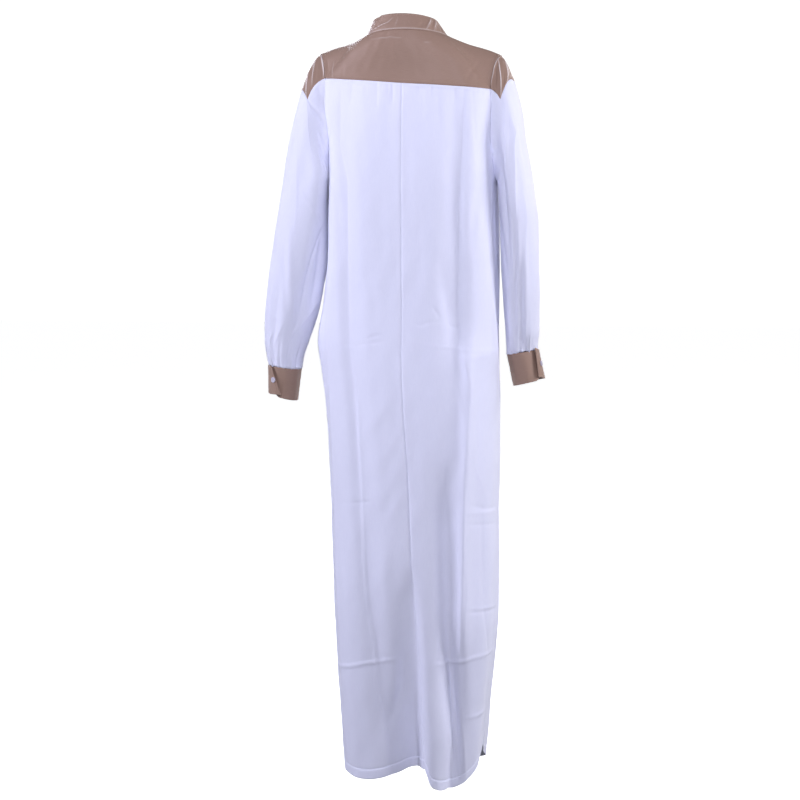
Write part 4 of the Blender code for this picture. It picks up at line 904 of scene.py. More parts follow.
halves = []
for side in (RIGHT, LEFT):
    place, row = np.meshgrid(half_places, front_rows)
    across, height = front_lay(side, place, row)
    edge = panel_end(side, FRONT, np.minimum(height, corner_level(side)), height)
    turned_up, hem_line = hem_turn(np.abs(height - height[-1:]))
    rolled = seam_turn(np.abs(edge - across))
    rolled += seam_turn(np.abs(height - height[:1]), depth=0.0014)
    rolled += hem_line
    half = [front_points(side, place, row), np.stack([across, height], axis=-1), rolled, turned_up]
    halves.append([np.flip(part, axis=1) if side == RIGHT else part for part in half])
points, lay, rolled, turned_up = (np.concatenate(pair, axis=1) for pair in zip(*halves))
index = np.arange(points.shape[0] * points.shape[1]).reshape(points.shape[:2])
middle = len(half_places)
below_slit = points[:, middle, 2] < -PLACKET_LENGTH
index[below_slit, middle] = index[below_slit, middle - 1]
index, points, lay, rolled, turned_up = drop_unused(
    index, points.reshape(-1, 3), lay.reshape(-1, 2), rolled.ravel(), turned_up.ravel())
faces = grid_faces(index)
front_middle = (0.0, 0.6, -0.7)
raised = FRONT_CREASE_LIFT * furrows(lay, FRONT_CREASES) + uneven(lay, UNEVEN) + rolled
points = lift(points, faces, front_middle, raised)
hem_grids.append((points[np.delete(index[-HEM_ROWS:], middle, axis=1)], front_middle))
wall = CLOTH + HEM_THICKER * turned_up
front = make_cloth("front_cloth", points, faces, lay, wall, white_cloth, front_middle)

# ---- yoke ----
# A shaped piece of tan polyester satin over both shoulders, from the neckline to the armholes and
# the straight back seam. Its turned edges are pressed towards it, which leaves a low ridge.
SATIN = 0.0008
YOKE_SIDE_ANGLE = 30.0
HEAD_STEPS = 8.0
BACK_STEPS = 15.0
RIDGE = 0.0007
EDGE_ROLL = 0.0013          # width over which a folded edge rolls under
SHARP_CREST = 5.0           # creases narrower than this, in mm, are pressed sharp and get a painted highlight
HIGHLIGHT_PER_MM = 0.22           # strength of the painted highlight along a pressed ridge, for each mm of its height
HIGHLIGHT_FROM = 0.5             # ridges lower than this, in mm, get no painted highlight and stay brown
CORNER_BLEND = 2.2          # columns over which its facing turns past an armhole's corner

# Satin has long floats that lie one way, so it is smooth, with a broad soft gloss and a slightly
# streaked, cloudy brown. The 0.12 mm thread pitch is drawn as a 0.9 mm twill line.
TWILL_PITCH = 0.0009
tan_satin, tree, shader = new_material("tan_polyester_satin")
chart = add_node(tree, "ShaderNodeUVMap", {}, uv_map="lay").outputs[0]
slanted = mapped(tree, chart, Rotation=(0.0, 0.0, 0.6))
twill = wave(tree, slanted, TWILL_PITCH, "X", Distortion=0.6)
cloudy = noise(tree, chart, Scale=26.0, Detail=4.0, Roughness=0.6)
threads = mapped(tree, chart, Scale=(1.0, 14.0, 1.0))
streaks = noise(tree, threads, Scale=90.0, Detail=2.0, Roughness=0.5)
colour = blend(tree, streaks, tint("8C7262"), tint("9A8170"))
# painted highlight: along sharply pressed ridges the colour is mixed towards near-white, where the
# satin's gloss would catch the light
highlight_map = add_node(tree, "ShaderNodeAttribute", {}, attribute_name="painted_highlight")
with_highlight = blend(tree, highlight_map.outputs["Fac"], colour, tint("F6ECE4"))
fine_bump = bump(tree, twill, Strength=0.10, Distance=0.0003)
soft_bump = bump(tree, cloudy, Strength=0.35, Distance=0.0016, Normal=fine_bump)
finish_shader(tree, shader, {"Base Color": with_highlight, "Normal": soft_bump}, {
    "Roughness": 0.52, "Specular IOR Level": 0.30, "Specular Tint": tint("F6E0D4"),
    "Sheen Weight": 0.03, "Sheen Roughness": 0.35, "Sheen Tint": tint("F6DDE2")})


def back_facing(side, place):
    """Which way a back panel faces just below its top edge."""
    place = np.clip(place, 1e-3, 1.0 - 1e-3)
    near = [body_points(BACK, *back_lay(side, place + a, 0.02 + b)) for a, b in (
        (-1e-3, 0.0), (1e-3, 0.0), (0.0, -0.02), (0.0, 0.02))]
    way = unit(np.cross(near[1] - near[0], near[3] - near[2]))
    return way * np.sign(way[..., 1:2])


def yoke_edge(column):
    """Points of the yoke's outer edge and the way it faces, from the left armhole's front round."""
    last = 2.0 * (HEAD_STEPS + BACK_STEPS)
    left_turn = mix(-1.0, 1.0, column / HEAD_STEPS) * ARMHOLES[LEFT]["corner"]
    right_turn = mix(-1.0, 1.0, (last - column) / HEAD_STEPS) * ARMHOLES[RIGHT]["corner"]
    left_place = np.clip((HEAD_STEPS + BACK_STEPS - column) / BACK_STEPS, 0.0, 1.0)
    right_place = np.clip((column - HEAD_STEPS - BACK_STEPS) / BACK_STEPS, 0.0, 1.0)
    parts = (
        (column < HEAD_STEPS, hole_points(LEFT, left_turn), arch_facing(LEFT, left_turn)),
        (column > last - HEAD_STEPS, hole_points(RIGHT, right_turn),
         arch_facing(RIGHT, right_turn)),
        (column <= HEAD_STEPS + BACK_STEPS, body_points(BACK, *back_lay(LEFT, left_place, 0.0)),
         back_facing(LEFT, left_place)),
        (column >= 0.0, body_points(BACK, *back_lay(RIGHT, right_place, 0.0)),
         back_facing(RIGHT, right_place)))
    points = np.zeros((len(column), 3))
    facing = np.zeros((len(column), 3))
    free = np.ones(len(column), bool)
    for belongs, part_points, part_facing in parts:
        here = free & belongs
        points[here] = part_points[here]
        facing[here] = part_facing[here]
        free &= ~belongs
    return points, facing


YOKE_ANGLE = run_smoothly(
    (0.0, HEAD_STEPS, HEAD_STEPS + 2.0 * BACK_STEPS, 2.0 * (HEAD_STEPS + BACK_STEPS)),
    (YOKE_FRONT_ANGLE, YOKE_SIDE_ANGLE, 180.0 - YOKE_SIDE_ANGLE, 180.0 - YOKE_FRONT_ANGLE))
yoke_columns = np.concatenate([
    (0.0, 0.10, 0.22, 0.36, 0.55), np.linspace(0.8, 7.6, 26), (7.8, 8.0, 8.2),
    np.linspace(8.45, 37.55, 118),
    (37.8, 38.0, 38.2), np.linspace(38.4, 45.2, 26), (45.45, 45.64, 45.78, 45.9, 46.0)])
yoke_steps = graded(
    (0.0, 0.008, 0.016, 0.026, 0.04), (0.06, 0.94, 46), (0.96, 0.974, 0.984, 0.992, 1.0))
edge_points, edge_facing = yoke_edge(yoke_columns)
# The cloth turns smoothly past the armholes' corners.
spread = ridge(yoke_columns[:, None], yoke_columns[None, :], CORNER_BLEND)
spread *= np.gradient(yoke_columns)[None, :]
edge_facing = unit(spread @ edge_facing)
neck_angle = YOKE_ANGLE(yoke_columns)[:, None]
grid = shoulder_points(neck_angle, edge_points[:, None], edge_facing[:, None], yoke_steps[None, :])


def run_lengths(grid, axis):
    """Distances along the lines of a grid of points."""
    steps = np.linalg.norm(np.diff(grid, axis=axis), axis=-1)
    start = np.zeros_like(np.take(steps, [0], axis=axis))
    return np.concatenate([start, np.cumsum(steps, axis=axis)], axis=axis)


outwards = run_lengths(grid, 1)
round_yoke = run_lengths(grid, 0)
to_edge = outwards[:, -1:] - outwards
to_front = np.minimum(round_yoke, round_yoke[-1:] - round_yoke)
at_hole = ease((np.abs(yoke_columns - 23.0) - 14.6) / 0.8)[:, None]
rolled = seam_turn(to_front, depth=0.0010) + seam_turn(outwards, depth=0.0012)
rolled = rolled - mix(0.0010, 0.0, at_hole) * ridge(to_edge, 0.0, EDGE_ROLL)
rolled = rolled + RIDGE * mix(0.7, 1.2, at_hole) * ridge(
    to_edge, mix(0.0036, 0.0018, at_hole), 0.0018)

# Creases of the yoke by distance round it and out from the neck, in mm: pressing folds above the
# back seam, and drags that run from the neck's sides towards the armholes.
middle_run = 0.5 * (round_yoke[:, -1] + round_yoke[:, 0])
lay = flat_lay(np.broadcast_to(middle_run[:, None], outwards.shape), -outwards)
YOKE_CREASES = (
    (((171, -21), (198, -18), (224, -16), (257, -18)), 0.8, 1.8),
    (((147, -85), (162, -113)), -0.8, 2.5), (((110, -84), (144, -118)), 0.9, 2.6),
    (((97, -91), (135, -121)), -1.1, 3.0), (((402, -86), (364, -101), (336, -126)), -1.1, 2.8),
    (((373, -106), (354, -136)), -0.9, 2.4), (((297, -93), (292, -112)), -0.7, 2.0),
    (((305, -29), (326, -29)), 0.6, 2.2), (((299, -46), (324, -45)), -0.5, 2.2),
    (((208, -53), (220, -61)), -0.5, 3.0), (((101, -54), (177, -69), (208, -95)), -0.6, 9.0),
    (((320, -60), (350, -84), (352, -108)), -0.6, 8.0),
    (((60, -20), (52, -64), (44, -116)), 1.0, 7.0),
    (((408, -20), (430, -64), (440, -112)), 1.0, 7.0),
)
yoke_below = (0.0, 0.0, -0.4)
held_flat = ease(to_edge / SEWN_FLAT).ravel()
raised = (furrows(lay, YOKE_CREASES) + uneven(lay * 1.6, 0.00035)) * held_flat + rolled.ravel()
# the yoke's sharp raised creases get a painted highlight along their tops
yoke_highlight_lines = [(path, HIGHLIGHT_PER_MM * depth, 1.0) for path, depth, width in YOKE_CREASES
               if depth > HIGHLIGHT_FROM and width < SHARP_CREST]
highlight_share = painted_crest_highlight(lay, yoke_highlight_lines)
yoke, yoke_grid = cloth_from_grid("yoke_cloth", grid, lay, raised, SATIN, tan_satin,
                                  yoke_below, highlight_share)

# ---- collar ----
# A stand-up band of tan satin in two layers over a stiffener, sewn round the neckline and open
# at the front with rounded corners. The wearing has wrinkled it at both sides of the neck.
COLLAR_WALL = 0.0021
COLLAR_TOP = {"centre": (0.0075, 0.016), "wide": 0.0625, "back": 0.062, "front": 0.071,
              "level": 0.0265, "rise": 0.0095, "drop": 0.0595}
COLLAR_OPENING = 0.0016
COLLAR_DEGREE = 1.3         # mm round the collar for one degree
COLLAR_RADIUS = 0.075
COLLAR_HEIGHT = 0.031
COLLAR_CORNER = 0.014
COLLAR_CREASES = (
    # angle round in degrees, height in mm up the band
    (((20, 2), (38, 7), (46, 26)), 2.0, 2.2), (((30, 3), (56, 10), (71, 15), (80, 24)), 2.2, 2.0),
    (((46, 2), (54, 15), (60, 26)), -1.8, 2.2), (((8, 6), (16, 18), (22, 30)), -1.4, 2.6),
    (((126, 2), (136, 14), (150, 30)), 2.2, 2.2), (((140, 3), (150, 16), (164, 30)), 2.0, 2.0),
    (((133, 0), (142, 9)), -1.4, 2.0), (((156, 2), (166, 16), (176, 28)), -1.4, 2.4),
    (((116, 3), (128, 19)), -1.0, 2.5), (((82, 5), (88, 24)), 0.7, 2.2),
    (((100, 5), (104, 18)), -0.6, 3.0), (((-30, 4), (-22, 16), (-14, 28)), 1.4, 2.6),
    (((210, 4), (202, 16), (194, 28)), 1.4, 2.6), (((-60, 6), (-50, 16)), -0.9, 3.0),
    (((240, 6), (230, 17)), -0.9, 3.0),
)
ends_at = -90.0 + math.degrees(0.5 * COLLAR_OPENING / NECKLINE["wide"])


def scaled(lines, across, down):
    """Creases or crests with their paths scaled, their depths and widths as they are."""
    return [(tuple((a * across, h * down) for a, h in path), *rest) for path, *rest in lines]


def collar_points(angle, up):
    low = neck_points(NECKLINE, angle) - np.array((0.0, 0.0, 0.0008))
    high = neck_points(COLLAR_TOP, angle)
    from_end = np.radians(np.minimum(angle - ends_at, 180.0 - ends_at - angle)) * NECKLINE["wide"]
    corner = np.clip(1.0 - from_end / COLLAR_CORNER, 0.0, 1.0)
    reach = up * (0.5 + 0.5 * np.sqrt(1.0 - corner ** 2))
    return mix(low, high, reach[..., None])


from_ends = np.array((0.0, 0.4, 1.0, 1.8, 2.8, 4.0, 5.5, 7.2))
collar_angles = graded(ends_at + from_ends, (ends_at + 9.0, 171.0 - ends_at, 210),
                       180.0 - ends_at - from_ends[::-1])
collar_ups = graded((0.0, 0.02, 0.05, 0.09), (0.14, 0.88, 14), (0.92, 0.95, 0.975, 1.0))
angle, up = np.meshgrid(collar_angles, collar_ups)
grid = collar_points(angle, up)
from_top = run_lengths(grid[::-1], 0)[::-1]
from_base = run_lengths(grid, 0)
rolled = -0.0004 * ridge(from_top, 0.0030, 0.0009) - 0.0005 * ridge(from_base, 0.0022, 0.0009)
rolled = rolled + 0.0006 * ridge(from_base, 0.0006, 0.0010)
# A small step in the top edge, where the band's end was folded over in making.
step_down = 0.0016 * ease((53.0 - angle) / 4.0) * ease((up - 0.5) / 0.5)
grid[..., 2] -= step_down
crease_lay = flat_lay(angle * 0.001, up * COLLAR_HEIGHT) * np.array((COLLAR_DEGREE, 1.0))
creases = scaled(COLLAR_CREASES, COLLAR_DEGREE, 1)
lay = flat_lay(np.radians(angle) * COLLAR_RADIUS, from_base)
neck_middle = (0.005, 0.016, 0.01)
raised = furrows(crease_lay, creases) * ease(up.ravel() * 4.0) + rolled.ravel()
# painted highlights along the collar's raised creases and along a line just above its seam
highlight_lines = [(path, HIGHLIGHT_PER_MM * depth, 0.7) for path, depth, width in creases
          if depth > HIGHLIGHT_FROM]
highlight_lines += scaled(((tuple((a, 2.0) for a in (-60, 0, 60, 120, 180, 240)), 0.5, 0.8),),
                 COLLAR_DEGREE, 1)
highlight_share = painted_crest_highlight(crease_lay, highlight_lines)
collar, collar_grid = cloth_from_grid("collar_stand_cloth", grid, lay, raised, COLLAR_WALL,
                                      tan_satin, neck_middle, highlight_share)
from_base_of_collar, from_top_of_collar = from_base, from_top

# ---- sleeve heads ----
# A tan satin cap over each shoulder, sewn to the yoke along the armhole. Its lower edge rises
# from a pointed tip at front and back to a notch on top, and is pressed in a crease.
LAST_RING = 17
LOOP_REACH = 3.0
SLEEVE_HALF_DEPTH = (0.056, 0.0575, 0.059, 0.0605, 0.062, 0.063, 0.0635, 0.063, 0.062, 0.061,
                     0.060, 0.058, 0.056, 0.0535, 0.050, 0.046, 0.041, 0.037)
SLEEVES = {
    LEFT: {
        "outer_x":    (0.178, 0.187, 0.196, 0.204, 0.212, 0.220, 0.229, 0.238, 0.246, 0.252, 0.258,
                       0.268, 0.279, 0.288, 0.294, 0.2945, 0.2900, 0.2850),
        "outer_z":    (-0.027, -0.033, -0.045, -0.061, -0.081, -0.106, -0.140, -0.182, -0.225,
            -0.262,
                       -0.296, -0.349, -0.420, -0.485, -0.540, -0.586, -0.618, -0.635),
        "inner_x":    (0.1580, 0.1588, 0.1597, 0.1605, 0.1613, 0.1620, 0.1626, 0.1630, 0.1634,
            0.1638,
                       0.1642, 0.1650, 0.1680, 0.1765, 0.1890, 0.2060, 0.2180, 0.2220),
        "inner_z":    (-0.272, -0.2721, -0.2725, -0.2733, -0.2745, -0.276, -0.279, -0.283, -0.290,
                       -0.299, -0.312, -0.350, -0.415, -0.480, -0.538, -0.586, -0.622, -0.643),
        "middle_y":   (-0.012, -0.011, -0.010, -0.009, -0.008, -0.007, -0.006, -0.005, -0.004,
            -0.003,
                       -0.002, 0.000, 0.001, 0.001, 0.000, -0.001, -0.001, -0.001),
        "half_depth": SLEEVE_HALF_DEPTH,
    },
    RIGHT: {
        "outer_x":    (0.170, 0.179, 0.188, 0.195, 0.202, 0.209, 0.216, 0.221, 0.229, 0.235, 0.240,
                       0.246, 0.247, 0.247, 0.245, 0.243, 0.2395, 0.2380),
        "outer_z":    (-0.037, -0.045, -0.060, -0.076, -0.094, -0.118, -0.150, -0.190, -0.233,
            -0.270,
                       -0.302, -0.352, -0.420, -0.480, -0.530, -0.570, -0.592, -0.603),
        "inner_x":    (0.1655, 0.1664, 0.1673, 0.1681, 0.1688, 0.1694, 0.1700, 0.1705, 0.1710,
            0.1714,
                       0.1718, 0.1728, 0.1742, 0.1752, 0.1762, 0.1776, 0.1782, 0.1785),
        "inner_z":    (-0.276, -0.2761, -0.2765, -0.2773, -0.2785, -0.280, -0.283, -0.287, -0.294,
                       -0.303, -0.316, -0.354, -0.419, -0.478, -0.528, -0.572, -0.600, -0.613),
        "middle_y":   (-0.012, -0.011, -0.010, -0.009, -0.008, -0.007, -0.006, -0.006, -0.006,
            -0.007,
                       -0.008, -0.012, -0.020, -0.032, -0.045, -0.057, -0.065, -0.069),
        "half_depth": SLEEVE_HALF_DEPTH,
    },
}
SLEEVE_CURVES = {
    side: {name: run_smoothly(range(LAST_RING + 1), rows[name]) for name in rows}
    for side, rows in SLEEVES.items()}
HEADS = {
    LEFT:  {"tip_angle": 61.0, "tip_ring": 3.3, "notch_ring": 5.2},
    RIGHT: {"tip_angle": 66.5, "tip_ring": 1.95, "notch_ring": 3.7},
}
FLAT_BACK = {LEFT: 0.6, RIGHT: 0.0}
SLEEVE_FOLDS = (
    # side,  ring, angle, ring, angle, depth, width in degrees
    (LEFT,   0.0, 140.0, 13.0, 135.0,  0.0160, 30.0),
    (LEFT,  10.0, 150.0, 15.5, 108.0, -0.0060, 16.0),
    (LEFT,  12.0,  70.0, 17.5,  62.0, -0.0050, 12.0),
    (LEFT,   3.0,  45.0, 12.0,  40.0,  0.0035, 12.0),
    (LEFT,   9.0, 300.0, 16.0, 262.0, -0.0060, 18.0),
    (RIGHT,  1.0, 120.0, 12.5, 122.0, -0.0060, 16.0),
    (RIGHT,  2.0,  52.0, 11.5,  50.0,  0.0045, 12.0),
    (RIGHT, 12.0,  84.0, 17.5,  76.0, -0.0050, 12.0),
    (RIGHT, 12.5, 120.0, 17.5, 116.0,  0.0040, 14.0),
    (RIGHT,  9.0, 300.0, 16.0, 265.0, -0.0060, 18.0),
)


def ring_points(side, angle, ring):
    """Points of a sleeve's plain rings: angle 0 is outermost, 90 the back and 180 the inside."""
    curves = SLEEVE_CURVES[side]
    turn = np.radians(angle)
    part = 0.5 - 0.5 * np.cos(turn)
    x = mix(curves["outer_x"](ring), curves["inner_x"](ring), part)
    z = mix(curves["outer_z"](ring), curves["inner_z"](ring), part)
    back = np.sin(turn)
    # the inner back of the left sleeve lies flat beside the body instead of rolling away
    flat = FLAT_BACK[side] * ease(ring / 1.5) * ease((14.0 - ring) / 4.0) * (part > 0.5)
    back = np.where(back > 0.0, np.maximum(back, 1e-9) ** (1.0 - flat), back)
    y = curves["middle_y"](ring) + curves["half_depth"](ring) * back
    return np.stack([side * x, y, z], axis=-1)


def ring_middle(side, ring):
    return 0.5 * (ring_points(side, 0.0, ring) + ring_points(side, 180.0, ring))


def wrap(angle):
    """An angle in degrees brought between -180 and 180."""
    return (angle + 180.0) % 360.0 - 180.0


def sleeve_points(side, angle, ring):
    """Points on the outer face of a sleeve with its main folds; ring 0 lies on the armhole."""
    angle, ring = np.broadcast_arrays(np.asarray(angle, float), np.asarray(ring, float))
    wrapped = wrap(angle)
    points = ring_points(side, angle, ring)
    start = hole_points(side, wrapped) - ring_points(side, wrapped, np.zeros_like(ring))
    near = np.clip(1.0 - ring / LOOP_REACH, 0.0, 1.0)
    points = points + start * near[..., None] ** 2
    depth = np.zeros(angle.shape)
    for fold_side, ring_top, angle_top, ring_low, angle_low, fold, width in SLEEVE_FOLDS:
        if fold_side != side:
            continue
        part = np.clip((ring - ring_top) / (ring_low - ring_top), 0.0, 1.0)
        offset = wrap(angle - mix(angle_top, angle_low, part))
        depth = depth + fold * np.sin(math.pi * part) ** 0.8 * ridge(offset, 0.0, width)
    along = ring_points(side, angle + 2.0, ring) - ring_points(side, angle - 2.0, ring)
    down = ring_points(side, angle, ring + 0.1) - ring_points(side, angle, ring - 0.1)
    out = unit(np.cross(along, down))
    middle = ring_middle(side, ring)
    out = out * np.where((out * (points - middle)).sum(-1) < 0.0, -1.0, 1.0)[..., None]
    return points + out * depth[..., None]


def head_angle(side, ring):
    """How far round, from the top, a sleeve head's side edges lie at a ring."""
    head = HEADS[side]
    upper = mix(ARMHOLES[side]["corner"], head["tip_angle"], ring / head["tip_ring"])
    lower = mix(head["tip_angle"], 56.0, ease((ring - head["tip_ring"]) / 6.0))
    return np.where(ring <= head["tip_ring"], upper, lower)


def head_ring(side, share):
    """Ring of a sleeve head's lower edge; share runs from -1 at its front tip to 1 at its back."""
    return mix(HEADS[side]["notch_ring"], HEADS[side]["tip_ring"], np.abs(share))


HEAD_SHARES = graded(
    (-1.0, -0.985, -0.965, -0.94), (-0.91, 0.91, 89), (0.94, 0.965, 0.985, 1.0))
HEAD_PARTS = graded((0.0, 0.02, 0.045, 0.08), (0.12, 0.90, 32), (0.935, 0.96, 0.98, 1.0))
HEAD_EDGE_DIP = 0.0009
HEAD_ACROSS = 0.64          # mm for one percent of a head's half width
HEAD_DOWN = 0.60            # mm for one percent of its depth
HEAD_CREASES = {
    # the pressed creases up from each tip, and drags over the shoulder; share in %, part in %
    LEFT: (
        (((20, 50), (62, 77), (97, 104)), 1.5, (2.0, 1.6)),
        (((14, 20), (62, 42), (98, 62)), 1.4, (2.0, 1.6)),
        (((95, 40), (35, 20)), -0.8, (3.0, 3.0)), (((-18, 44), (-60, 72), (-97, 104)), 1.5, 2.2),
        (((-30, 16), (-96, 48)), -0.9, 3.0), (((2, 98), (4, 30)), 0.8, 3.0),
    ),
    RIGHT: (
        (((30, 4), (70, 60), (99, 104)), 1.6, (1.8, 1.6)),
        (((2, 20), (36, 81), (60, 104)), 1.6, (1.8, 1.6)), (((52, 10), (96, 47)), -0.9, 3.0),
        (((33, 47), (83, 100)), -0.9, 3.0), (((-28, 6), (-66, 60), (-98, 104)), 1.5, 2.2),
        (((-8, 24), (-40, 84)), -1.0, 3.0),
    ),
}
# painted highlights along the pressed creases up from each tip and along the armhole seam; share
# and part in %
HEAD_HIGHLIGHT_LINES = {
    LEFT: (
        (((16, 46), (62, 77), (97, 104)), 1.0, 1.1), (((14, 20), (62, 42), (95, 60)), 0.7, 1.0),
        (((20, 3), (60, 3.5), (99, 5)), 1.0, 1.1), (((-18, 44), (-60, 72), (-97, 104)), 0.8, 1.0),
    ),
    RIGHT: (
        (((30, 4), (70, 60), (99, 104)), 1.0, 1.2), (((2, 20), (36, 81), (60, 104)), 1.0, 1.1),
        (((20, 3), (60, 3.5), (99, 5)), 1.0, 1.1), (((-28, 6), (-66, 60), (-98, 104)), 0.8, 1.0),
    ),
}
head_grids = []
for side, word in SIDES:
    share, part = np.meshgrid(HEAD_SHARES, HEAD_PARTS)
    ring = head_ring(side, share) * part
    grid = sleeve_points(side, head_angle(side, ring) * share, ring)
    down = run_lengths(grid, 0)
    round_head = run_lengths(grid, 1)
    to_side = np.minimum(round_head, round_head[:, -1:] - round_head)
    to_low = down[-1:] - down
    rolled = 2.4 * RIDGE * ridge(down, 0.0020, 0.0015)
    rolled = rolled + 0.6 * RIDGE * ridge(to_low, 0.0034, 0.0024)
    for to_fold in (to_low, to_side):
        rolled = rolled - HEAD_EDGE_DIP * ridge(to_fold, 0.0, EDGE_ROLL)
    lay = flat_lay(round_head - 0.5 * round_head[:, -1:], -down)
    crease_lay = flat_lay(share, part) * np.array((0.064, 0.060))
    creases, highlight_lines = (
        scaled(lines[side], HEAD_ACROSS, HEAD_DOWN) for lines in (HEAD_CREASES, HEAD_HIGHLIGHT_LINES))
    below = (side * 0.12, -0.012, -0.2)
    held_flat = ease(np.minimum(down, to_low) / 0.004).ravel()
    raised = (furrows(crease_lay, creases) + uneven(lay * 1.5 + side, 0.0003)) * held_flat
    highlight_share = painted_crest_highlight(crease_lay, highlight_lines)
    head, grid = cloth_from_grid(f"sleeve_head_{word}_cloth", grid, lay, raised + rolled.ravel(),
                                 SATIN, tan_satin, below, highlight_share)
    head_grids.append((grid, to_low, below))

# ---- sleeves ----
# A tapered tube of the white cloth, sewn to the head, the yoke and the body round the armhole and
# gathered into the cuff. A slit above the cuff lets the hand through.
CUFF_SLIT_RINGS = 2.0
CUFF_SLIT_ANGLE = 52.0
CUFF_SLIT_OPEN = 4.0
DEGREE = 0.00092            # mean distance round a sleeve for one degree
SLEEVE_RADIUS = 0.10
RING_BELOW_HEAD = 0.022     # distances down the cloth for one ring
RING_BELOW_ARMHOLE = 0.010
RING_ABOVE_CUFF = 0.020
RUN_EASE = 1.25             # the cloth's way down is longer than the sleeve's middle line
INNER_COLUMNS = 18.0
TUBE_ROWS = 13.0

# Creases by angle in degrees and ring, with depths and widths in mm: drags from the armhole,
# soft breaks inside the elbow, and gathers above the cuff.
SLEEVE_CREASES = {
    LEFT: (
        (((56, 3.3), (74, 3.8), (95, 4.9), (108, 5.6)), 1.0, 1.8),
        (((32, 4.5), (64, 6.0), (80, 8.1), (90, 10.5), (92, 11.4)), 1.0, 1.8),
        (((63, 3.2), (72, 2.7), (87, 1.4), (100, 0.4), (104, 0.1)), -2.4, 2.4),
        (((59, 1.2), (76, 0.3), (88, 0.0)), -1.8, 3.6),
        (((102, 2.0), (124, 1.1), (130, 0.7)), -2.4, 3.6),
        (((118, 3.1), (155, 5.1), (164, 7.4)), -3.0, 3.6),
        (((92, 9.2), (124, 10.5), (155, 11.2)), 1.4, 2.2),
        (((164, 11.1), (144, 11.6), (132, 12.1), (126, 12.7), (124, 13.2), (122, 14.0)),
          -2.6, 2.6), (((76, 11.2), (86, 12.2), (101, 13.4), (111, 14.2), (112, 15.1)), 2.2, 6.5),
        (((66, 11.6), (78, 12.6), (92, 13.8)), -1.5, 4.5), (((60, 11.6), (37, 12.1)), 1.1, 2.6),
        (((194, 13.1), (160, 13.6), (137, 14.1), (122, 14.5), (106, 15.1)), 2.2, (4, 3)),
        (((155, 11.2), (152, 12.1), (150, 13.0), (143, 13.8)), -7.0, 10),
        (((51, 14.1), (74, 13.9)), 1.1, 2.4), (((60, 14.5), (44, 15.6)), 1.4, 3.4),
        (((88, 14.2), (76, 14.9), (62, 15.6)), 1.6, 3.6), (((20, 13.4), (46, 14.5)), -1.0, 4),
        (((26, 10.2), (0, 11.4)), -0.9, 5), (((190, 10.8), (210, 11.8), (236, 12.6)), -2.2, 6.5),
        (((186, 12.0), (206, 12.8), (228, 13.6)), 1.8, 6.0),
        (((250, 2.0), (264, 4.6), (272, 7.0)), -2.0, 6.0), (((236, 2.6), (248, 4.6)), 1.6, 5.0),
        (((300, 10.0), (290, 12.5), (282, 15.0)), 1.8, 8.0),
    ),
    RIGHT: (
        (((28, 4.2), (60, 6.6), (77, 9.1), (86, 10.9)), 4.6, (9, 3)),
        (((38, 3.1), (64, 5.0), (84, 7.2), (94, 9.8), (92, 10.9)), -1.2, (6, 3)),
        (((92, 10.4), (90, 11.4), (90, 12.2), (97, 13.1), (100, 15.7)), -3.2, 5),
        (((71, 2.0), (92, 4.9), (122, 7.8), (116, 11.3), (105, 12.8), (106, 14.2)), -1.6, 4.5),
        (((59, 2.8), (80, 4.7), (90, 6.2)), 1.0, 3),
        (((160, 10.0), (140, 11.6), (118, 12.8)), -2.2, 7.0),
        (((70, 11.0), (76, 13.0), (78, 15.0)), -1.6, 6.0),
        (((52, 10.0), (60, 12.0), (66, 14.0)), 1.6, 5.0),
        (((60, 13.8), (66, 14.8), (70, 15.8)), 1.4, 2.4),
        (((34, 9.0), (38, 12.0), (36, 15.0)), 1.2, 8.0),
        (((190, 10.6), (212, 11.6), (236, 12.4)), -2.2, 6.5),
        (((250, 2.2), (262, 4.8), (270, 7.0)), -2.0, 6.0),
        (((300, 9.4), (292, 12.0), (284, 14.6)), 1.8, 8.0), (((20, 5.0), (24, 8.0)), 1.2, 8.0),
    ),
}
CUFF_GATHERS = (  # angle, length in rings, depth in mm, width in mm
    (66, 1.9, -1.6, 3.4), (77, 1.2, 1.2, 2.8), (88, 2.3, -1.7, 3.4), (101, 1.1, 1.0, 2.8),
    (113, 2.0, -1.4, 3.2), (128, 1.3, 1.2, 3.0), (146, 2.1, -1.5, 3.4), (163, 1.0, 1.0, 2.8),
    (182, 1.8, -1.3, 3.2), (204, 1.4, 1.2, 3.0), (228, 2.2, -1.6, 3.4), (250, 1.2, 1.0, 2.8),
    (272, 1.9, -1.4, 3.2), (297, 1.3, 1.1, 3.0), (322, 2.0, -1.4, 3.2), (344, 1.0, 1.0, 2.8),
    (362, 1.7, -1.3, 3.2), (384, 1.2, 1.1, 3.0), (402, 2.0, -1.5, 3.2),
)
SLEEVE_RUN = {}
for side in (LEFT, RIGHT):
    rings = np.linspace(0.0, LAST_RING, 171)
    centres = 0.5 * (sleeve_points(side, 0.0, rings) + sleeve_points(side, 180.0, rings))
    SLEEVE_RUN[side] = (rings, run_lengths(centres, 0) * RUN_EASE)


def sleeve_down(side, ring):
    """Rough distance down a sleeve to a ring."""
    return np.interp(ring, *SLEEVE_RUN[side])


def mm_down(side, ring):
    return -1000.0 * float(sleeve_down(side, ring))


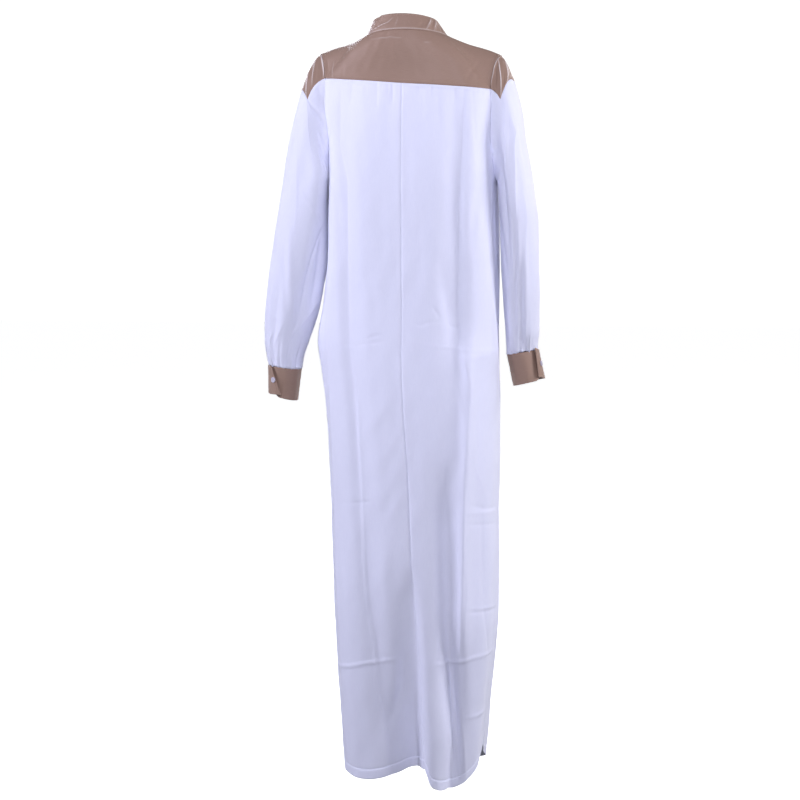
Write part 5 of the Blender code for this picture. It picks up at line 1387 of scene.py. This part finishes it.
inner_columns = graded(
    (0.0, 0.06, 0.13, 0.22, 0.35), (0.5, 17.5, 96),
    (17.65, 17.78, 17.87, 17.94, INNER_COLUMNS))
head_shares = HEAD_SHARES[1:-1]
CROWN_ROWS = len(HEAD_PARTS) - 1
tube_rows = graded((0.0, 0.012, 0.026, 0.045, 0.07, 0.10), (0.14, 12.85, 172),
                   (12.92, TUBE_ROWS))
for side, word in SIDES:
    head = HEADS[side]
    tube_share = tube_rows / TUBE_ROWS
    below_head = mix(head["tip_ring"], LAST_RING, tube_share)[1:]
    ring = np.concatenate([head["tip_ring"] * HEAD_PARTS, below_head])
    edge = head_angle(side, ring)[:, None]
    inside = mix(edge, 360.0 - edge, inner_columns[None, :] / INNER_COLUMNS)
    inside_ring = np.broadcast_to(ring[:, None], inside.shape)
    over_ring = mix(head_ring(side, head_shares)[None, :], LAST_RING, tube_share[:, None])
    over = 360.0 + head_angle(side, over_ring) * head_shares[None, :]
    missing = np.full((CROWN_ROWS, len(head_shares)), np.nan)
    angle = np.concatenate([inside, np.concatenate([missing, over])], axis=1)
    ring = np.concatenate([inside_ring, np.concatenate([missing, over_ring])], axis=1)
    slit = int(np.argmin(np.abs(angle[-1] - 360.0 - CUFF_SLIT_ANGLE)))
    # the tube is laid out from the slit right round to the slit again
    order = np.concatenate([np.arange(slit, angle.shape[1]), np.arange(0, slit + 1)])
    shift = np.where(np.arange(len(order)) < angle.shape[1] - slit, 0.0, 360.0)
    angle, ring = angle[:, order] + shift, ring[:, order]
    there = ~np.isnan(angle)
    parted = np.clip(1.0 - (LAST_RING - ring[:, 0]) / CUFF_SLIT_RINGS, 0.0, 1.0)
    angle[:, 0] += 0.5 * CUFF_SLIT_OPEN * np.nan_to_num(parted)
    angle[:, -1] -= 0.5 * CUFF_SLIT_OPEN * np.nan_to_num(parted)
    index = np.full(angle.shape, -1)
    index[there] = np.arange(there.sum())
    whole = there[:, 0] & (np.nan_to_num(parted) == 0.0)
    index[whole, -1] = index[whole, 0]
    angles, rings = angle[there], ring[there]
    points = sleeve_points(side, angles, rings)
    index, points, angles, rings = drop_unused(index, points, angles, rings)
    faces = grid_faces(index)
    down = sleeve_down(side, rings)
    lay = np.stack([angles * DEGREE, -down], axis=-1)
    wrapped = wrap(angles)
    over_head = np.abs(wrapped) < head_angle(side, rings)
    share = np.clip(np.abs(wrapped) / head_angle(side, rings), 0.0, 1.0)
    to_head = (rings - head_ring(side, share)) * RING_BELOW_HEAD
    past_head = np.radians(np.abs(wrapped) - head_angle(side, rings)) * SLEEVE_RADIUS
    beside_head = np.where(rings < head["tip_ring"], past_head, 1.0)
    below_armhole = np.minimum(rings * RING_BELOW_ARMHOLE, np.abs(beside_head))
    to_seam = np.where(over_head, to_head, below_armhole)
    to_cuff = (LAST_RING - rings) * RING_ABOVE_CUFF
    rolled = seam_turn(np.abs(to_seam), depth=0.0005) + seam_turn(to_cuff, depth=0.0014)
    to_mm = DEGREE * 1000.0
    lines = [(tuple((a * to_mm, mm_down(side, r)) for a, r in path), depth, width)
             for path, depth, width in SLEEVE_CREASES[side]]
    for where, length, depth, width in CUFF_GATHERS:
        top, low = mm_down(side, LAST_RING - length), mm_down(side, LAST_RING)
        path = ((where * to_mm, top), (where * to_mm, 2.0 * low - top))
        lines.append((path, depth, width))
    turned = lay - np.array((360.0 * DEGREE, 0.0))
    raised = furrows(lay, lines) + furrows(turned, lines) + uneven(turned + 0.4 * side, UNEVEN)
    within = ring_middle(side, 8.0)
    points = lift(points, faces, within, raised + rolled)
    sleeve = make_cloth(f"sleeve_{word}_cloth", points, faces, lay, CLOTH, white_cloth, within)

# ---- cuffs ----
# A stiffened band of tan satin in two layers, closed round the wrist by a button. Its free end
# stands off the layer below, and its edges are stitched close to the fold.
BAND_WALL = 0.0024
CUFF_WALL = 0.0020
CUFF_INSET = 0.0030         # its stitches' distance from its edges
FLAP_STANDS_OFF = 0.0075
FLAP_LIFT = 0.006
CUFFS = {
    LEFT: {
        "outer": (0.2850, -0.689), "inner": (0.2300, -0.7040),
        "middle_y": -0.002, "half_depth": 0.034,
        "start": 46.0, "flap_top": 53.0, "flap_low": 98.0, "button": 68.0,
    },
    RIGHT: {
        "outer": (0.2495, -0.660), "inner": (0.1900, -0.6740),
        "middle_y": -0.080, "half_depth": 0.034,
        "start": 8.0, "flap_top": 33.0, "flap_low": 46.0, "button": 18.0,
    },
}


def cuff_points(side, along, down):
    """Points of a cuff: along runs from its under end to the flap's end, down from the sleeve."""
    cuff = CUFFS[side]
    curves = SLEEVE_CURVES[side]
    angle = mix(cuff["start"], 360.0 + mix(cuff["flap_top"], cuff["flap_low"], down), along)
    rise = ease((angle - 290.0) / (cuff["start"] + 45.0))
    end = cuff["flap_low"] - cuff["start"] + 12.0
    tail = ease((angle - 360.0 - cuff["start"] + 12.0) / end)
    stand_off = BAND_WALL * 1.5 * rise + (FLAP_STANDS_OFF - BAND_WALL * 1.5) * tail
    near_start = np.maximum(0.0, 1.0 - along / 0.10)
    down = mix(0.004 + 0.02 * near_start, 1.0 - 0.25 * near_start ** 1.3, down)
    low = (*cuff["outer"], *cuff["inner"], cuff["middle_y"], cuff["half_depth"])
    names = ("outer_x", "outer_z", "inner_x", "inner_z", "middle_y", "half_depth")
    outer_x, outer_z, inner_x, inner_z, middle_y, half_depth = (
        mix(curves[name](LAST_RING), value, down) for name, value in zip(names, low))
    turn = np.radians(angle)
    radial = np.stack([
        0.5 * (outer_x - inner_x) * np.cos(turn), half_depth * np.sin(turn),
        0.5 * (outer_z - inner_z) * np.cos(turn)], axis=-1)
    middle = np.stack([0.5 * (outer_x + inner_x), middle_y, 0.5 * (outer_z + inner_z)], axis=-1)
    points = middle + radial + unit(radial) * stand_off[..., None]
    points[..., 2] += FLAP_LIFT * tail
    return points * np.array((side, 1.0, 1.0))


CUFF_CREASES = (
    (((10, -2), (13, 60)), -0.7, 6), (((40, -2), (36, 62)), 0.8, 7),
    (((72, -2), (76, 60)), -0.8, 6), (((104, 0), (98, 62)), 0.7, 6),
    (((134, -2), (140, 60)), -0.8, 7), (((170, 0), (164, 62)), 0.8, 6),
    (((196, -2), (200, 62)), -0.6, 6), (((60, 20), (84, 26), (110, 22)), -0.4, 4),
)
cuff_alongs = graded(
    (0.0, 0.005, 0.011, 0.018, 0.027), (0.038, 0.962, 108), (0.973, 0.982, 0.989, 0.995, 1.0))
cuff_downs = graded(
    (0.0, 0.015, 0.035, 0.06, 0.09), (0.12, 0.88, 20), (0.91, 0.94, 0.965, 0.985, 1.0))
cuff_grids = {}
for side, word in SIDES:
    along, down = np.meshgrid(cuff_alongs, cuff_downs)
    grid = cuff_points(side, along, down)
    lengths = run_lengths(grid, 1)
    depths = run_lengths(grid, 0)
    to_rim = np.minimum(np.minimum(lengths, lengths[:, -1:] - lengths),
                        np.minimum(depths, depths[-1:] - depths))
    rolled = -0.00035 * ridge(to_rim, CUFF_INSET, 0.0008)
    lay = flat_lay(lengths, -depths)
    within = grid.reshape(-1, 3).mean(axis=0)
    raised = furrows(lay * np.array((1.0, -1.0)), CUFF_CREASES) + uneven(lay * 2.0 + side, 0.0002)
    cuff, cuff_grids[side] = cloth_from_grid(
        f"cuff_{word}_cloth", grid, lay, raised + rolled.ravel(), CUFF_WALL, tan_satin, within)

# ---- placket ----
# A strip of the white cloth, folded double and sewn over the front slit from the neckline down,
# with its buttonholes down the middle.
PLACKET_WIDTH = 0.032
PLACKET_WALL = 0.0012
PLACKET_OUT = 0.0023
PLACKET_INSET = 0.0025      # its stitches' distance from its edges
row_table = np.linspace(0.0, 13.0, 1301)
height_table = front_points(LEFT, 0.0, row_table)[:, 2]


def placket_points(across, height, out):
    """Points over the middle of the front, a distance out from it, and the way it faces."""
    across, height = np.broadcast_arrays(np.asarray(across, float), np.asarray(height, float))
    row = np.interp(-height, -height_table, row_table)
    place = np.abs(across) / 0.20
    spread = np.where((across >= 0.0)[..., None], front_points(LEFT, place, row),
                      front_points(RIGHT, place, row))
    step = 2e-3
    wide = front_points(LEFT, place + step, row) - front_points(LEFT, np.maximum(place, step), row)
    tall = front_points(LEFT, place, row + 0.02) - front_points(LEFT, place, row)
    way = unit(np.cross(wide, tall))
    way = way * -np.sign(way[..., 1:2])
    off_middle = np.where(np.abs(across) > 1e-6, 1.0, 0.0)
    way[..., 0] = np.where(across >= 0.0, way[..., 0], -way[..., 0]) * off_middle
    way = unit(way)
    return spread + way * out, way


placket_top = NECKLINE["level"] - NECKLINE["drop"] - 0.004
placket_places = graded((0.0, 0.03, 0.07), (0.12, 0.88, 15), (0.93, 0.97, 1.0))
across, height = np.meshgrid(
    PLACKET_WIDTH * (placket_places - 0.5),
    placket_top - PLACKET_LENGTH * np.linspace(0.0, 1.0, 121))
placket_grid = placket_points(across, height, PLACKET_OUT)[0]
to_side = PLACKET_WIDTH * 0.5 - np.abs(across)
rolled = -0.0003 * ridge(to_side, PLACKET_INSET, 0.0007)
rolled -= 0.0003 * ridge(height - placket_top + PLACKET_LENGTH, PLACKET_INSET, 0.0012)
lay = flat_lay(across, height)
raised = uneven(lay * 2.0, 0.0001) + rolled.ravel()
placket, _ = cloth_from_grid(
    "placket_cloth", placket_grid, lay, raised, PLACKET_WALL, white_cloth, front_middle)

# ---- stitching ----
# Rows of lockstitch in polyester thread of each cloth's own colour: along the turned edges of the
# satin, round the collar and cuffs, down the placket and along the hem. Each stitch is one bead.
STITCH = 0.0026             # length of a stitch, a little over the real 2.2 mm
STITCH_PITCH = 0.0034
HEM_STITCH_PITCH = 0.0040
THREAD = 0.00055
SHOULDER_INSET = 0.0062     # distance of the shoulders' stitches from their edges


def thread_material(name, code):
    """Spun polyester thread: soft, with a dull gloss and a slight twist that breaks the light."""
    made, tree, shader = new_material(name)
    place = add_node(tree, "ShaderNodeTexCoord", {})
    twist = noise(tree, place.outputs["Object"], Scale=2400.0, Detail=2.0)
    dark = [c * 0.85 for c in tint(code)[:3]] + [1.0]
    finish_shader(tree, shader, {
        "Base Color": blend(tree, twist, dark, tint(code)),
        "Normal": bump(tree, twist, Strength=0.4, Distance=0.0001)}, {"Roughness": 0.5})
    return made


tan_thread = thread_material("tan_polyester_thread", "A58B7A")
white_thread = thread_material("white_polyester_thread", "EFF0FC")

bpy.ops.object.select_all(action="DESELECT")
bpy.ops.mesh.primitive_uv_sphere_add(
    segments=5, ring_count=3, radius=0.5, rotation=(0.0, 0.5 * math.pi, 0.0))
bead = bpy.context.object
bpy.ops.object.transform_apply(rotation=True)
bead_points = np.array([tuple(v.co) for v in bead.data.vertices])
bead_faces = [tuple(p.vertices) for p in bead.data.polygons]
bpy.data.objects.remove(bead, do_unlink=True)


def grid_ways(grid, away_from):
    """Which way a grid of points faces."""
    way = unit(np.cross(np.gradient(grid, axis=0), np.gradient(grid, axis=1)))
    return way * (1.0 if (way * (grid - np.asarray(away_from))).sum() > 0.0 else -1.0)


def line_across(grid, runs, distance):
    """The point of each row of a grid at a distance along it."""
    orders = (np.argsort(run) for run in runs)
    return np.array([points_at(distance, run[order], line[order])
                     for line, run, order in zip(grid, runs, orders)])


def stitches_along(path, ways, pitch=STITCH_PITCH):
    """Middle, direction, facing and length of each stitch of a row along a path."""
    spans = np.linalg.norm(np.diff(path, axis=0), axis=1)
    run = np.concatenate([[0.0], np.cumsum(spans)])
    places = np.arange(0.6 * pitch, run[-1] - 0.4 * pitch, pitch)
    middle = points_at(places, run, path)
    step = 0.3 * pitch
    along = unit(points_at(places + step, run, path) - points_at(places - step, run, path))
    return middle, along, unit(points_at(places, run, ways)), np.full(len(places), STITCH)


def sewn_line(grid, away_from, runs, distance, trim=0, pitch=STITCH_PITCH, columns=True):
    """Stitches through the point of each column or row of a grid at a distance along it."""
    ways = grid_ways(grid, away_from)
    if columns:
        grid, ways, runs = grid.swapaxes(0, 1), ways.swapaxes(0, 1), runs.T
    kept = slice(trim, -trim if trim else None)
    path, facing = (line_across(part, runs, distance)[kept] for part in (grid, ways))
    return stitches_along(path, facing, pitch)


def sew(name, rows, finish):
    """Make one piece of all the stitches of several rows."""
    middle, along, up, length = (np.concatenate(part) for part in zip(*rows))
    side_way = unit(np.cross(up, along))
    up = np.cross(along, side_way)
    sizes = np.stack([length, np.full(len(length), THREAD), np.full(len(length), THREAD)], -1)
    beads = bead_points[None] * sizes[:, None]
    verts = middle[:, None] + up[:, None] * THREAD * 0.15
    for i, way in enumerate((along, side_way, up)):
        verts = verts + beads[..., i:i + 1] * way[:, None]
    count = len(bead_points)
    faces = [tuple(i + n * count for i in face) for n in range(len(middle)) for face in bead_faces]
    mesh = bpy.data.meshes.new(name)
    mesh.from_pydata(verts.reshape(-1, 3).tolist(), [], faces)
    mesh.materials.append(finish)
    mesh.shade_smooth()
    made = put_in_scene(name, mesh)


rows = [sewn_line(yoke_grid, yoke_below, to_edge, SHOULDER_INSET, columns=False)]
for grid, runs, away_from in head_grids:
    rows.append(sewn_line(grid, away_from, runs, SHOULDER_INSET))
sew("shoulder_stitching", rows, tan_thread)

rows = [sewn_line(collar_grid, neck_middle, runs, inset, 3) for runs, inset in (
    (from_base_of_collar, 0.0024), (from_top_of_collar, 0.0030))]
sew("collar_stitching", rows, tan_thread)

rows = []
for side in (LEFT, RIGHT):
    grid = cuff_grids[side]
    within = grid.reshape(-1, 3).mean(axis=0)
    depths = run_lengths(grid, 0)
    lengths = run_lengths(grid, 1)
    for runs in (depths, depths[-1:] - depths):
        rows.append(sewn_line(grid, within, runs, CUFF_INSET, 4))
    rows.append(sewn_line(
        grid, within, lengths[:, -1:] - lengths, CUFF_INSET, 3, columns=False))
sew("cuff_stitching", rows, tan_thread)

rows = []
heights = placket_top - PLACKET_LENGTH * np.linspace(0.01, 0.99, 160)
for across in (-1.0, 1.0):
    at, way = placket_points(across * (0.5 * PLACKET_WIDTH - PLACKET_INSET), heights, PLACKET_OUT)
    rows.append(stitches_along(at, way))
at, way = placket_points(np.linspace(-0.0135, 0.0135, 30),
    placket_top - PLACKET_LENGTH + PLACKET_INSET,
                         PLACKET_OUT)
rows.append(stitches_along(at, way))
sew("placket_stitching", rows, white_thread)

rows = []
for grid, away_from in hem_grids:
    above = run_lengths(grid[::-1], 0)[::-1]
    rows.append(sewn_line(grid, away_from, above, HEM_BAND, 3, HEM_STITCH_PITCH))
sew("hem_stitching", rows, white_thread)

# ---- buttons ----
# Four-hole shirt buttons, 11 mm across, turned from pearly polyester resin with a raised rim and
# sewn on with white thread: four down the placket and one at each cuff.
BUTTON_RADIUS = 0.0055
BUTTON_THICKNESS = 0.0022
BUTTON_STANDS_OFF = 0.0003
BUTTON_RIM = 0.0014         # width of the raised rim
BUTTON_STEP = 0.0005        # width of the step down from it
BUTTON_DISH = 0.0006        # its depth
BUTTON_ROUNDING = 0.0005
HOLE_APART = 0.0011
HOLE_RADIUS = 0.00055
PLACKET_BUTTONS = 4
BUTTON_SPACING = 0.068
FIRST_BUTTON = 0.030        # its distance below the placket's top
THREAD_SPAN = 0.0030

pearl, tree, shader = new_material("pearl_polyester_resin")
place = add_node(tree, "ShaderNodeTexCoord", {})
layers = noise(tree, place.outputs["Object"], Scale=260.0, Detail=3.0, Distortion=1.5)
colour = blend(tree, layers, tint("B4ADB8"), tint("CCC6D2"))
finish_shader(tree, shader, {"Base Color": colour}, {
    "Roughness": 0.24, "IOR": 1.54, "Coat Weight": 0.3, "Coat Roughness": 0.12})

bpy.ops.object.select_all(action="DESELECT")
bpy.ops.mesh.primitive_cylinder_add(
    vertices=32, radius=BUTTON_RADIUS, depth=BUTTON_THICKNESS,
    location=(0.0, 0.0, 0.5 * BUTTON_THICKNESS))
button = bpy.context.object
bpy.ops.object.transform_apply(location=True)
top = max(button.data.polygons, key=lambda p: p.center.z)
for face in button.data.polygons:
    face.select = face.index == top.index
bpy.ops.object.mode_set(mode="EDIT")
bpy.ops.mesh.select_mode(type="FACE")
bpy.ops.mesh.inset(thickness=BUTTON_RIM)
bpy.ops.mesh.inset(thickness=BUTTON_STEP)
bpy.ops.transform.translate(value=(0.0, 0.0, -BUTTON_DISH))
bpy.ops.object.mode_set(mode="OBJECT")
rounding = button.modifiers.new("rounding", "BEVEL")
rounding.width = BUTTON_ROUNDING
rounding.segments = 3
rounding.limit_method = "ANGLE"
bpy.ops.object.modifier_apply(modifier="rounding")
for x in (-HOLE_APART, HOLE_APART):
    for y in (-HOLE_APART, HOLE_APART):
        bpy.ops.object.select_all(action="DESELECT")
        bpy.ops.mesh.primitive_cylinder_add(vertices=12, radius=HOLE_RADIUS, depth=0.01,
            location=(x, y, 0.0))
        drill = bpy.context.object
        bpy.context.view_layer.objects.active = button
        cut = button.modifiers.new("hole", "BOOLEAN")
        cut.operation = "DIFFERENCE"
        cut.solver = "EXACT"
        cut.object = drill
        bpy.ops.object.modifier_apply(modifier="hole")
        bpy.data.objects.remove(drill, do_unlink=True)
bpy.ops.object.select_all(action="DESELECT")
button.select_set(True)
bpy.ops.object.shade_smooth_by_angle(angle=math.radians(35.0))
button.data.materials.append(pearl)


def cuff_button_place(side):
    cuff = CUFFS[side]
    end = 360.0 + mix(cuff["flap_top"], cuff["flap_low"], 0.5)
    along = np.array([(360.0 + cuff["button"] - cuff["start"]) / (end - cuff["start"])])
    at = cuff_points(side, along, 0.5)[0]
    wide = cuff_points(side, along + 0.01, 0.5)[0] - cuff_points(side, along - 0.01, 0.5)[0]
    tall = cuff_points(side, along, 0.6)[0] - cuff_points(side, along, 0.4)[0]
    way = unit(np.cross(wide, tall))
    middle = cuff_grids[side].reshape(-1, 3).mean(axis=0)
    return at, way if way @ (at - middle) > 0.0 else -way


button_places = []
for i in range(PLACKET_BUTTONS):
    height = placket_top - FIRST_BUTTON - BUTTON_SPACING * i
    at, way = placket_points(np.zeros(1), height, PLACKET_OUT)
    button_places.append((f"placket_button_{i + 1}", at[0], way[0]))
for side, word in SIDES:
    button_places.append((f"cuff_button_{word}", *cuff_button_place(side)))
thread_rows = []
for node, at, way in button_places:
    mesh = button.data.copy()
    turned = Vector(way).to_track_quat("Z", "Y").to_matrix()
    mesh.transform(Matrix.Translation(at + way * BUTTON_STANDS_OFF) @ turned.to_4x4())
    made = put_in_scene(node + "_pearl", mesh)
    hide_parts(node)
    frame_ways = np.array(turned)
    middles = [at + way * (BUTTON_THICKNESS - BUTTON_STANDS_OFF) + frame_ways @ np.array(
        (0.0, y, 0.0))
               for y in (-HOLE_APART, HOLE_APART)]
    thread_rows.append([
        np.array(middles), np.repeat(frame_ways[None, :, 0], 2, 0), np.repeat(way[None], 2, 0),
        np.full(2, THREAD_SPAN)])
bpy.data.objects.remove(button, do_unlink=True)
sew("button_thread", thread_rows, white_thread)
